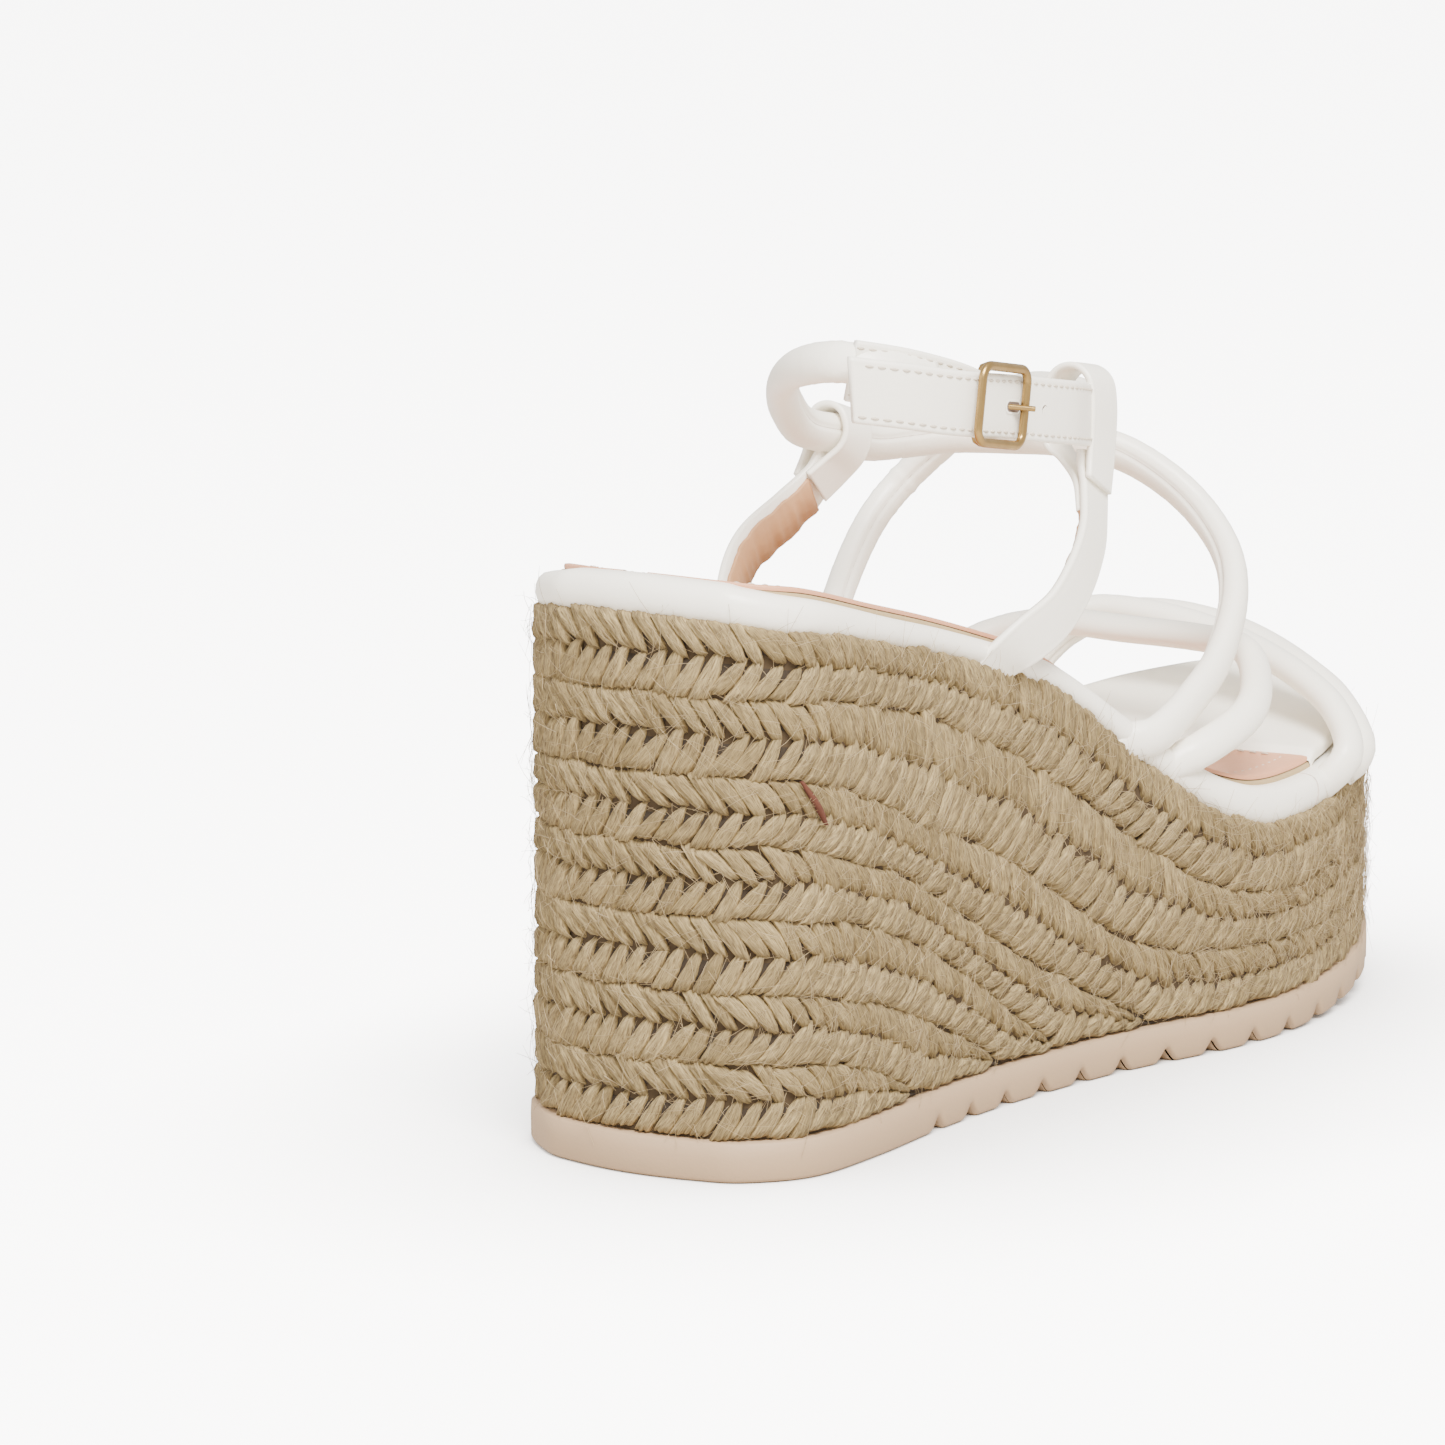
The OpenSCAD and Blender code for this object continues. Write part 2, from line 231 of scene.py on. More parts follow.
def wire(tree, a, b):
    tree.links.new(a, b)


def maths(tree, operation, a, b=None, clamp=False):
    n = add(tree, "ShaderNodeMath", operation=operation, use_clamp=clamp)
    for k, value in enumerate((a, b)):
        if value is None:
            continue
        if isinstance(value, (int, float)):
            n.inputs[k].default_value = value
        else:
            wire(tree, value, n.inputs[k])
    return n.outputs[0]


def mix_colour(tree, factor, a, b, blend="MIX"):
    n = add(tree, "ShaderNodeMix", data_type="RGBA", blend_type=blend)
    for socket, value in ((n.inputs[0], factor), (n.inputs[6], a), (n.inputs[7], b)):
        if isinstance(value, (int, float)):
            socket.default_value = value
        elif isinstance(value, tuple):
            socket.default_value = (*value, 1)
        else:
            wire(tree, value, socket)
    return n.outputs[2]


def noise(tree, vector, scale, detail=3, rough=0.55):
    n = add(tree, "ShaderNodeTexNoise")
    n.inputs["Scale"].default_value = scale
    n.inputs["Detail"].default_value = detail
    n.inputs["Roughness"].default_value = rough
    wire(tree, vector, n.inputs["Vector"])
    return n.outputs["Fac"]


def group_sockets(tree, inputs, outputs):
    for name, kind, value in inputs:
        s = tree.interface.new_socket(name, in_out="INPUT", socket_type=kind)
        if value is not None and hasattr(s, "default_value"):
            s.default_value = value
    for name, kind in outputs:
        tree.interface.new_socket(name, in_out="OUTPUT", socket_type=kind)
    return add(tree, "NodeGroupInput"), add(tree, "NodeGroupOutput")


def grain_group():
    """Fine pebble grain and slow unevenness of a coated leather or a moulded sheet."""
    g = bpy.data.node_groups.new("leather_grain", "ShaderNodeTree")
    i, o = group_sockets(g, [("Vector", "NodeSocketVector", None),
                             ("Grain Size", "NodeSocketFloat", 900.0),
                             ("Crease Size", "NodeSocketFloat", 90.0)],
                         [("Height", "NodeSocketFloat"), ("Mottle", "NodeSocketFloat")])
    cells = add(g, "ShaderNodeTexVoronoi", feature="F1")
    wire(g, i.outputs["Vector"], cells.inputs["Vector"])
    wire(g, i.outputs["Grain Size"], cells.inputs["Scale"])
    fine = maths(g, "MULTIPLY", cells.outputs["Distance"], 0.5)
    crease = add(g, "ShaderNodeTexNoise")
    crease.inputs["Detail"].default_value = 4
    wire(g, i.outputs["Vector"], crease.inputs["Vector"])
    wire(g, i.outputs["Crease Size"], crease.inputs["Scale"])
    slow = crease.outputs["Fac"]
    wire(g, maths(g, "ADD", fine, slow), o.inputs["Height"])
    wire(g, slow, o.inputs["Mottle"])
    return g


def fibre_group():
    """Streaks that run along a strand, with u along it and v across."""
    g = bpy.data.node_groups.new("jute_fibre", "ShaderNodeTree")
    i, o = group_sockets(g, [("UV", "NodeSocketVector", None),
                             ("Along", "NodeSocketFloat", 3.0),
                             ("Across", "NodeSocketFloat", 40.0)],
                         [("Streak", "NodeSocketFloat"), ("Height", "NodeSocketFloat")])
    split = add(g, "ShaderNodeSeparateXYZ")
    wire(g, i.outputs["UV"], split.inputs[0])
    both = add(g, "ShaderNodeCombineXYZ")
    wire(g, maths(g, "MULTIPLY", split.outputs[0], i.outputs["Along"]), both.inputs[0])
    wire(g, maths(g, "MULTIPLY", split.outputs[1], i.outputs["Across"]), both.inputs[1])
    wire(g, split.outputs[2], both.inputs[2])
    streak = noise(g, both.outputs[0], 1.0, 4, 0.7)
    wire(g, streak, o.inputs["Streak"])
    wire(g, streak, o.inputs["Height"])
    return g


GRAIN = grain_group()
FIBRE = fibre_group()


def surface(name, colour, roughness, **sockets):
    mat = bpy.data.materials.new(name)
    mat.use_nodes = True
    tree = mat.node_tree
    shader = tree.nodes["Principled BSDF"]
    shader.inputs["Base Color"].default_value = (*colour, 1)
    shader.inputs["Roughness"].default_value = roughness
    for key, value in sockets.items():
        shader.inputs[key.replace("_", " ")].default_value = value
    return mat, tree, shader


def bump(tree, shader, height, distance, strength=1.0):
    b = add(tree, "ShaderNodeBump")
    b.inputs["Distance"].default_value = distance
    b.inputs["Strength"].default_value = strength
    wire(tree, height, b.inputs["Height"])
    wire(tree, b.outputs[0], shader.inputs["Normal"])


def object_coords(tree):
    return add(tree, "ShaderNodeTexCoord").outputs["Object"]


def leather_like(name, colour, dark, roughness, grain=900.0, crease=90.0, depth=0.00006,
                 **sockets):
    """A coated, dyed or moulded sheet with grain, soft mottling and uneven gloss."""
    mat, tree, shader = surface(name, colour, roughness, **sockets)
    where = object_coords(tree)
    g = add(tree, "ShaderNodeGroup", node_tree=GRAIN)
    wire(tree, where, g.inputs["Vector"])
    g.inputs["Grain Size"].default_value = grain
    g.inputs["Crease Size"].default_value = crease
    wire(tree, mix_colour(tree, maths(tree, "MULTIPLY", g.outputs["Mottle"], 0.6), colour, dark),
         shader.inputs["Base Color"])
    rough = maths(tree, "MULTIPLY_ADD", g.outputs["Mottle"], 0.18)
    rough.node.inputs[2].default_value = roughness - 0.08
    wire(tree, rough, shader.inputs["Roughness"])
    bump(tree, shader, g.outputs["Height"], depth)
    return mat


def jute_material(name, light, mid, shade):
    mat, tree, shader = surface(name, mid, 0.85)
    uv = add(tree, "ShaderNodeUVMap", uv_map="UVMap").outputs[0]
    tone = add(tree, "ShaderNodeAttribute", attribute_name="tone").outputs["Fac"]
    g = add(tree, "ShaderNodeGroup", node_tree=FIBRE)
    offset = add(tree, "ShaderNodeCombineXYZ")
    wire(tree, maths(tree, "MULTIPLY", tone, 97.0), offset.inputs[2])
    moved = add(tree, "ShaderNodeVectorMath", operation="ADD")
    wire(tree, uv, moved.inputs[0])
    wire(tree, offset.outputs[0], moved.inputs[1])
    wire(tree, moved.outputs[0], g.inputs["UV"])
    g.inputs["Along"].default_value = 2.2
    g.inputs["Across"].default_value = 7.0
    by_tone = mix_colour(tree, tone, mid, light)
    streaks = maths(tree, "MULTIPLY_ADD", g.outputs["Streak"], 2.8, True)
    streaks.node.inputs[2].default_value = -0.95
    wire(tree, mix_colour(tree, streaks, shade, by_tone), shader.inputs["Base Color"])
    bump(tree, shader, g.outputs["Height"], 0.00025)
    return mat


WHITE_LEATHER = leather_like("white_leather", (0.925, 0.88, 0.775), (0.885, 0.83, 0.715), 0.36)
# darker colour for seam lines: painted shade in the seam grooves
SEAM_PAINTED_SHADE = leather_like("seam_groove_painted_shade", (0.62, 0.52, 0.44), (0.55, 0.45, 0.38), 0.6)
TAN_LINING = leather_like("tan_lining", (0.45, 0.235, 0.105), (0.36, 0.18, 0.078), 0.62, 500, 140,
                          0.0002)
NUDE_SOCK = leather_like("nude_sock", (0.58, 0.275, 0.15), (0.53, 0.245, 0.13), 0.5, 700, 60)
FIBRE_BOARD = leather_like("fibre_board", (0.42, 0.30, 0.15), (0.28, 0.19, 0.09), 0.8, 1500, 400,
                           0.00012)
RUBBER = leather_like("beige_rubber", (0.37, 0.25, 0.145), (0.33, 0.222, 0.126), 0.62, 1600, 40,
                      0.00005)
THREAD = leather_like("thread", (0.60, 0.52, 0.42), (0.52, 0.44, 0.34), 0.7, 3000, 900)
BROWN_THREAD = leather_like("brown_thread", (0.085, 0.018, 0.004), (0.04, 0.008, 0.002), 0.8, 3000, 900)
CORK = leather_like("cork_core", (0.45, 0.33, 0.2), (0.3, 0.2, 0.12), 0.9, 400, 200)
JUTE = jute_material("jute", (0.52, 0.385, 0.178), (0.345, 0.25, 0.106), (0.095, 0.060, 0.022))
JUTE_FUZZ = jute_material("jute_fuzz", (0.74, 0.59, 0.35), (0.42, 0.30, 0.15), (0.34, 0.24, 0.12))
# near-black jute for the row bodies: painted shade that shows in the gaps between strands
JUTE_GAP_PAINTED_SHADE = jute_material("jute_gap_painted_shade", (0.05, 0.032, 0.013), (0.04, 0.024, 0.01),
                           (0.02, 0.012, 0.005))
# near-black backing inside the braid: painted shade between the strands
JUTE_BACKING_PAINTED_SHADE = leather_like("jute_backing_painted_shade", (0.06, 0.038, 0.016), (0.04, 0.024, 0.01), 0.95, 700, 300)


def brass_material():
    mat, tree, shader = surface("antique_brass", (0.52, 0.35, 0.14), 0.25, Metallic=1.0)
    where = object_coords(tree)
    patchy = noise(tree, where, 240, 3)
    rough = maths(tree, "MULTIPLY_ADD", patchy, 0.3)
    rough.node.inputs[2].default_value = 0.16
    wire(tree, rough, shader.inputs["Roughness"])
    wire(tree, mix_colour(tree, patchy, (0.46, 0.31, 0.115), (0.22, 0.13, 0.045)),
         shader.inputs["Base Color"])
    bump(tree, shader, noise(tree, where, 1400, 2), 0.00002)
    return mat


BRASS = brass_material()
# inside of the punched holes: painted shade
HOLE_PAINTED_SHADE = leather_like("hole_shade", (0.16, 0.11, 0.08), (0.10, 0.07, 0.05), 0.9)


# ---- repeats along a line -----------------------------------------------------------------

def repeat_tree(name, has_tone):
    """Lays copies of a shape along a curve: x along it, z out of the surface."""
    g = bpy.data.node_groups.new(name, "GeometryNodeTree")
    i, o = group_sockets(g, [("Geometry", "NodeSocketGeometry", None),
                             ("Shape", "NodeSocketObject", None),
                             ("Spacing", "NodeSocketFloat", 0.004),
                             ("Size Change", "NodeSocketFloat", 0.1),
                             ("Sway", "NodeSocketFloat", 0.05),
                             ("Seed", "NodeSocketInt", 1),
                             ("Material", "NodeSocketMaterial", None)],
                         [("Geometry", "NodeSocketGeometry")])
    pace = add(g, "GeometryNodeResampleCurve", mode="LENGTH")
    wire(g, i.outputs["Geometry"], pace.inputs["Curve"])
    wire(g, i.outputs["Spacing"], pace.inputs["Length"])
    along = add(g, "GeometryNodeInputTangent")
    facing = add(g, "GeometryNodeInputNamedAttribute", data_type="FLOAT_VECTOR")
    facing.inputs["Name"].default_value = "facing"
    turn = add(g, "FunctionNodeAxesToRotation", primary_axis="X", secondary_axis="Z")
    wire(g, along.outputs[0], turn.inputs["Primary Axis"])
    wire(g, facing.outputs["Attribute"], turn.inputs["Secondary Axis"])
    wide = add(g, "GeometryNodeInputNamedAttribute", data_type="FLOAT")
    wide.inputs["Name"].default_value = "wide"

    def dice(low, high, shift):
        d = add(g, "FunctionNodeRandomValue", data_type="FLOAT")
        for socket, value in ((d.inputs[2], low), (d.inputs[3], high)):
            if isinstance(value, (int, float)):
                socket.default_value = value
            else:
                wire(g, value, socket)
        wire(g, maths(g, "ADD", i.outputs["Seed"], float(shift)), d.inputs["Seed"])
        return d.outputs[1]

    less = maths(g, "SUBTRACT", 1.0, i.outputs["Size Change"])
    more = maths(g, "ADD", 1.0, i.outputs["Size Change"])
    size = add(g, "ShaderNodeCombineXYZ")
    wire(g, dice(less, more, 0), size.inputs[0])
    wire(g, maths(g, "MULTIPLY", dice(less, more, 1), wide.outputs["Attribute"]), size.inputs[1])
    wire(g, dice(less, more, 2), size.inputs[2])
    back = maths(g, "MULTIPLY", i.outputs["Sway"], -1.0)
    sway = add(g, "ShaderNodeCombineXYZ")
    for axis in range(3):
        wire(g, dice(back, i.outputs["Sway"], 3 + axis), sway.inputs[axis])
    lean = add(g, "FunctionNodeEulerToRotation")
    wire(g, sway.outputs[0], lean.inputs[0])
    both = add(g, "FunctionNodeRotateRotation", rotation_space="LOCAL")
    wire(g, turn.outputs[0], both.inputs[0])
    wire(g, lean.outputs[0], both.inputs[1])
    source = add(g, "GeometryNodeObjectInfo", transform_space="ORIGINAL")
    wire(g, i.outputs["Shape"], source.inputs["Object"])
    put = add(g, "GeometryNodeInstanceOnPoints")
    wire(g, pace.outputs[0], put.inputs["Points"])
    wire(g, source.outputs["Geometry"], put.inputs["Instance"])
    wire(g, both.outputs[0], put.inputs["Rotation"])
    wire(g, size.outputs[0], put.inputs["Scale"])
    last = put.outputs[0]
    if has_tone:
        tone = add(g, "GeometryNodeStoreNamedAttribute", data_type="FLOAT", domain="INSTANCE")
        tone.inputs["Name"].default_value = "tone"
        wire(g, last, tone.inputs["Geometry"])
        wire(g, dice(0.0, 1.0, 9), tone.inputs["Value"])
        last = tone.outputs[0]
    real = add(g, "GeometryNodeRealizeInstances")
    wire(g, last, real.inputs[0])
    paint = add(g, "GeometryNodeSetMaterial")
    wire(g, real.outputs[0], paint.inputs["Geometry"])
    wire(g, i.outputs["Material"], paint.inputs["Material"])
    wire(g, paint.outputs[0], o.inputs[0])
    return g


STITCH_TREE = repeat_tree("stitches_along", False)
BRAID_TREE = repeat_tree("strands_along", True)


def line_mesh(name, points, facing, wide, closed):
    """A line of edges in metres that carries which way it faces and how wide it is."""
    n = len(points)
    mesh = bpy.data.meshes.new(name)
    edges = [(k, (k + 1) % n) for k in range(n if closed else n - 1)]
    mesh.from_pydata([tuple(p) for p in points], edges, [])
    f = mesh.attributes.new("facing", "FLOAT_VECTOR", "POINT")
    f.data.foreach_set("vector", np.asarray(facing, np.float32).ravel())
    w = mesh.attributes.new("wide", "FLOAT", "POINT")
    w.data.foreach_set("value", np.asarray(wide, np.float32))
    obj = bpy.data.objects.new(name, mesh)
    bpy.context.scene.collection.objects.link(obj)
    return obj


def along_line(name, points, facing, shape, spacing, material, tree, change=0.1, sway=0.05,
               seed=1, wide=None, closed=False):
    """Copies of a shape along a line, as one plain mesh."""
    wide = np.ones(len(points)) if wide is None else wide
    guide = line_mesh(name + "_line", points, facing, wide, closed)
    wrapper = WRAPPERS[tree.name]
    mod = guide.modifiers.new("repeat", "NODES")
    mod.node_group = wrapper
    values = {"Shape": shape, "Spacing": spacing, "Size Change": change, "Sway": sway,
              "Seed": seed, "Material": material}
    for item in wrapper.interface.items_tree:
        if item.item_type == "SOCKET" and item.in_out == "INPUT" and item.name in values:
            mod[item.identifier] = values[item.name]
    depsgraph = bpy.context.evaluated_depsgraph_get()
    depsgraph.update()
    mesh = bpy.data.meshes.new_from_object(guide.evaluated_get(depsgraph))
    mesh.name = name
    obj = bpy.data.objects.new(name, mesh)
    bpy.context.scene.collection.objects.link(obj)
    bpy.data.objects.remove(guide)
    return obj


def on_mesh_line(inner):
    """The same repeat for a line given as mesh edges."""
    g = bpy.data.node_groups.new(inner.name + "_mesh", "GeometryNodeTree")
    spec = [(s.name, s.socket_type, None) for s in inner.interface.items_tree
            if s.item_type == "SOCKET" and s.in_out == "INPUT"]
    i, o = group_sockets(g, spec, [("Geometry", "NodeSocketGeometry")])
    to_curve = add(g, "GeometryNodeMeshToCurve")
    use = add(g, "GeometryNodeGroup", node_tree=inner)
    wire(g, i.outputs["Geometry"], to_curve.inputs[0])
    wire(g, to_curve.outputs[0], use.inputs["Geometry"])
    for name, _, _ in spec[1:]:
        wire(g, i.outputs[name], use.inputs[name])
    wire(g, use.outputs[0], o.inputs[0])
    return g


WRAPPERS = {t.name: on_mesh_line(t) for t in (STITCH_TREE, BRAID_TREE)}


# ---- platform -----------------------------------------------------------------------------

def outsole():
    """Moulded outsole with grip notches across its front part."""
    pitch, depth = 11.5, 2.5

    def under(x):
        d = abs((x - 57 + pitch / 2) % pitch - pitch / 2) if x > 51.2 else pitch / 2
        notch = depth * max(0.0, 1 - max(0.0, d - 0.5) / 2.3) ** 1.4 if d < 2.8 else 0
        return lift(x) + notch

    ring = even(round_trip([(x, -y) for x, y in OUTER_SIDE] + INNER_SIDE, 12), 900)
    out = outward_of(ring)

    def at(inset, z):
        p = ring - out * inset
        return np.column_stack([p, [z(min(max(x, 0), LENGTH)) for x in ring[:, 0]]])

    rings = [at(6.5, lambda x: sole_top(x) - 0.1), at(0.9, lambda x: sole_top(x) - 0.1),
             at(0.45, lambda x: sole_top(x) - 0.5), at(0.35, lambda x: lift(x) + 4.6),
             at(0.4, lambda x: max(under(x) + 0.9, lift(x) + 0.9)),
             at(0.8, lambda x: under(x) + 0.35), at(1.6, under)]
    wall = loft("outsole_wall", rings, RUBBER)
    # underside: strips across the sole
    low = ring - out * 1.6
    xs = np.linspace(low[:, 0].min() + 0.02, low[:, 0].max() - 0.02, 520)
    neg, pos = low[low[:, 1] <= 2.5], low[low[:, 1] > 2.5]
    yn = np.interp(xs, *neg[np.argsort(neg[:, 0])].T)
    yp = np.interp(xs, *pos[np.argsort(pos[:, 0])].T)
    verts = []
    for x, a, b in zip(xs, yn, yp):
        z = under(min(max(x, 0), LENGTH))
        verts += [(x, a + (b - a) * t, z) for t in (0, 0.5, 1)]
    base = new_object("outsole_base", metres(verts), loft_faces(len(xs), 3, False, flip=False),
                      RUBBER, False)
    return join("outsole_moulded", [wall, base])


def footbed_sheet(name, inset, x0, x1, lift_by, thick, material, dish=0.0, rear_roll=0.0):
    """A sheet on the footbed with rounded edges, cut off square at x0 and x1."""
    ring = plan_inset(inset)
    ring = ring[(ring[:, 0] > -5)]
    lo, hi = ring[:, 0].min() + 0.05, ring[:, 0].max() - 0.05
    a, b = max(lo, x0), min(hi, x1)
    t = np.linspace(0, 1, 150)
    ease = 0.5 - 0.5 * np.cos(np.pi * t)
    xs = a + (b - a) * ease
    split = 4.0
    neg, pos = ring[ring[:, 1] <= split], ring[ring[:, 1] > split]
    yn = np.interp(xs, *neg[np.argsort(neg[:, 0])].T)
    yp = np.interp(xs, *pos[np.argsort(pos[:, 0])].T)
    across = np.r_[0, 0, 0.004, 0.02, 0.06, np.linspace(0.14, 0.86, 9), 0.94, 0.98, 0.996, 1, 1]
    drop = np.r_[thick, 0.5 * thick, 0.18 * thick, 0.04, np.zeros(11), 0.04, 0.18 * thick,
                 0.5 * thick, thick]
    verts = []
    for x, p, q in zip(xs, yn, yp):
        roll = rear_roll * max(0.0, 1 - (x - a) / 3.0) ** 2 if rear_roll else 0
        for s, d in zip(across, drop):
            y = p + (q - p) * s
            cup = dish * 4 * s * (1 - s)
            verts.append((x, y, bed(x) + lift_by + thick - d - cup - roll))
    n = len(across)
    faces = loft_faces(len(xs), n, False, flip=True)
    return new_object(name, metres(verts), faces, material)


def platform_rim():
    """The white strip that covers the platform's edge, with a soft rounded face."""
    def part(inset, f, extra=0.0):
        return plan_ring(inset, lambda x: top(x) + f * (bed(x) - top(x)) + extra)
    rings = [part(5.5, 0, -1.2), part(3.6, 0, -0.9), part(2.6, 0.0, -0.2), part(1.9, 0.16),
             part(1.6, 0.36), part(1.7, 0.6), part(2.2, 0.82), part(3.2, 0.97),
             part(4.6, 1.02), part(6.6, 1.02), part(9, 0.9)]
    cover = loft("rim_cover", rings, WHITE_LEATHER, flip=False)
    # the strip's ends meet in a thin seam near the toe straps; its darker line is painted shade
    i = int(np.argmin(np.where(PLAN[:, 1] < 0, np.abs(PLAN[:, 0] - 173), 1e3)))
    across = []
    for inset, f in ((2.6, 0), (1.9, 0.16), (1.6, 0.36), (1.7, 0.6), (2.2, 0.82), (3.2, 0.97),
                     (4.6, 1.02), (6.6, 1.02)):
        x, y = plan_inset(inset)[i]
        across.append((x + 1.2 * f, y, top(x) + f * (bed(x) - top(x))))
    line = even(route(across, 4), 24, closed=False)
    seam = [[p + np.array([math.cos(a), math.sin(a) * 0.7, math.sin(a) * 0.7]) * 0.16
             for a in np.linspace(0, 2 * math.pi, 6, endpoint=False)] for p in line]
    return join("rim_cover", [cover, loft("rim_seam", seam, SEAM_PAINTED_SHADE)])


def wedge_backing():
    """A near-black inner face, painted shade, that shows between the strands of the braid."""
    rings = [plan_ring(3.2, lambda x: top(x) - 0.4)]
    for f in (0.75, 0.5, 0.25, 0):
        rings.append(plan_ring(3.0, lambda x, f=f: sole_top(x) + f * (top(x) - 0.4 - sole_top(x))))
    return loft("braid_ground", rings, JUTE_BACKING_PAINTED_SHADE)


# ---- braid --------------------------------------------------------------------------------

def strand_shape(name, rise, run, lobes, seed, width=4.4):
    """One bundle of yarns from the row's seam, where it rolls under, to the chevron, where its
    tip narrows and dives. x along the row, y up, z out, in metres."""
    rng = random.Random(seed)
    way = 1 if rise > 0 else -1
    verts, faces, uvs = [], [], []
    rings, front = 8, 2 * lobes + 1
    sides = front + 2
    for i in range(rings):
        t = i / (rings - 1)
        roll = max(0.0, 1 - t / 0.2)
        dive = max(0.0, (t - 0.74) / 0.26)
        x = (t - 0.5) * run + 0.35 * math.sin(math.pi * t)
        y = (t - 0.5) * rise
        z = -2.6 * roll ** 1.8 - 1.7 * dive ** 1.5
        w = width / 2 * (1 - 0.7 * max(0, (t - 0.42) / 0.58) ** 1.3)
        for j in range(front):
            u = j / (front - 1) * 2 - 1
            lobe = 0.28 * (1 if j % 2 else -1) * (1 - 0.6 * dive)
            bulge = 1.5 * (math.sqrt(max(0.0, 1 - 0.9 * u * u)) - 1)
            jag = 0.5 * rng.uniform(-1, 1) if i == rings - 1 else 0.12 * rng.uniform(-1, 1)
            verts.append(((x + w * u + 0.05 * rng.uniform(-1, 1)) * MM, (y + way * jag) * MM,
                          (z + bulge + lobe) * MM))
            uvs.append((t * 2.2, u * 1.6))
        for u in (0.7, -0.7):
            verts.append(((x + w * u) * MM, y * MM, (z - 2.6 + 1.7 * dive) * MM))
            uvs.append((t * 2.2, u * 1.6))
    for i in range(rings - 1):
        for j in range(sides):
            a, b = i * sides + j, i * sides + (j + 1) % sides
            faces.append((a, b, b + sides, a + sides))
    faces.append(tuple(range(sides))[::-1])
    faces.append(tuple(range((rings - 1) * sides, rings * sides)))
    if rise < 0:
        faces = [f[::-1] for f in faces]
    obj = new_object(name, verts, faces, None, True, uvs)
    obj.hide_render = True
    return obj


def row_line(k, share, depth):
    """Where the middle of a band of strands runs on row k."""
    ring = plan_inset(depth)
    x = PLAN[:, 0]
    low = np.array([seam_height(k + 1, v) for v in x])
    high = np.array([seam_height(k, v) for v in x])
    z = low + (high - low) * share
    line = np.column_stack([ring, z])
    room = high - low
    # the height of the row square to its own direction
    ahead = np.roll(line, -1, 0) - np.roll(line, 1, 0)
    flat = np.linalg.norm(ahead[:, :2], axis=1)
    room = room * flat / np.linalg.norm(ahead, axis=1)
    facing = np.column_stack([PLAN_OUT, np.zeros(len(PLAN))])
    return line, facing, room


PITCH = 3.75              # from one strand to the next, along a row
ROW_FULL = 13.2           # a row's full height
FUZZ_COUNT = 7900


def row_body(k):
    """The soft roll under the strands of row k, near-black: painted shade seen in the gaps between
    strands.
    """
    x = PLAN[:, 0]
    low = np.array([seam_height(k + 1, v) for v in x])
    high = np.array([seam_height(k, v) for v in x])
    rings, uvs = [], []
    along = np.arange(len(PLAN)) * (np.linalg.norm(PLAN[1] - PLAN[0]) / 0.9)
    for share, depth in ((0, 6.0), (0.03, 4.6), (0.09, 3.5), (0.2, 2.6), (0.36, 2.5), (0.48, 3.3),
                         (0.6, 3.4), (0.7, 2.6), (0.8, 2.6), (0.91, 3.5), (0.97, 4.6), (1, 6.0)):
        ring = plan_inset(depth)
        rings.append(np.column_stack([ring, low + (high - low) * share]))
        uvs.append(np.column_stack([share * 4 * np.ones(len(x)), along]))
    body = loft("row_body", rings[::-1], JUTE_GAP_PAINTED_SHADE)
    layer = body.data.uv_layers.new(name="UVMap")
    corner = np.empty(len(body.data.loops), np.int32)
    body.data.loops.foreach_get("vertex_index", corner)
    layer.data.foreach_set("uv", np.vstack(uvs[::-1]).astype("f4")[corner].ravel())
    tone = body.data.attributes.new("tone", "FLOAT", "POINT")
    tone.data.foreach_set("value", np.full(len(body.data.vertices), 0.02, "f4"))
    # nothing where the row has run out above the outsole
    thin = np.tile((high - low) < 0.5, 12)
    mesh = bmesh.new()
    mesh.from_mesh(body.data)
    mesh.verts.ensure_lookup_table()
    bmesh.ops.delete(mesh, geom=[v for v in mesh.verts if thin[v.index]], context="VERTS")
    mesh.to_mesh(body.data)
    mesh.free()
    return body


def braid_row(k, shapes, seed):
    """A row of plaited jute: two leaning files of strands that meet in a chevron."""
    parts = [row_body(k)]
    for share, shape, depth in ((0.275, shapes[0], 1.35), (0.765, shapes[1], 1.45)):
        line, facing, room = row_line(k, share, depth)
        keep = room > 3.6
        if keep.all():
            closed = True
            order = np.arange(len(line))
        else:
            closed = False
            gone = np.where(~keep)[0]
            first = gone[-1] + 1 if keep[-1] else np.where(keep)[0][0]
            order = (np.arange(len(line)) + first) % len(line)
            order = order[keep[order]]
        parts.append(along_line(
            "strands", metres(line[order]), facing[order], shape, PITCH * MM, JUTE, BRAID_TREE,
            change=0.15, sway=0.11, seed=seed, wide=room[order] / ROW_FULL, closed=closed))
        seed += 31
    return join("jute_row_%d" % (k + 1), parts)


def caught_thread():
    """A short end of brown thread caught in the third row, on the outer side."""
    edge = PLAN[:, 1] < 0
    order = np.argsort(PLAN[edge, 0])
    path = np.column_stack([PLAN, PLAN_OUT])[edge][order]
    rings = []
    for t in np.linspace(0, 1, 18):
        x, z = 13.2 + 5.6 * t, 71 - 8.4 * t
        row = [np.interp(x, path[:, 0], path[:, c]) for c in range(4)]
        out = np.array([row[2], row[3], 0.0])
        mid = np.array([x, row[1], z]) - out * (0.9 + 0.15 * math.cos(6 * t))
        along = np.array([-row[3], row[2], 0.0])
        r = 0.75 * (0.35 + 0.65 * math.sin(math.pi * (0.08 + 0.84 * t)))
        rings.append([mid + (out * math.cos(a) + along * math.sin(a)) * r
                      for a in np.linspace(0, 2 * math.pi, 8, endpoint=False)])
    return loft("caught_thread", rings, BROWN_THREAD, caps=(True, True))


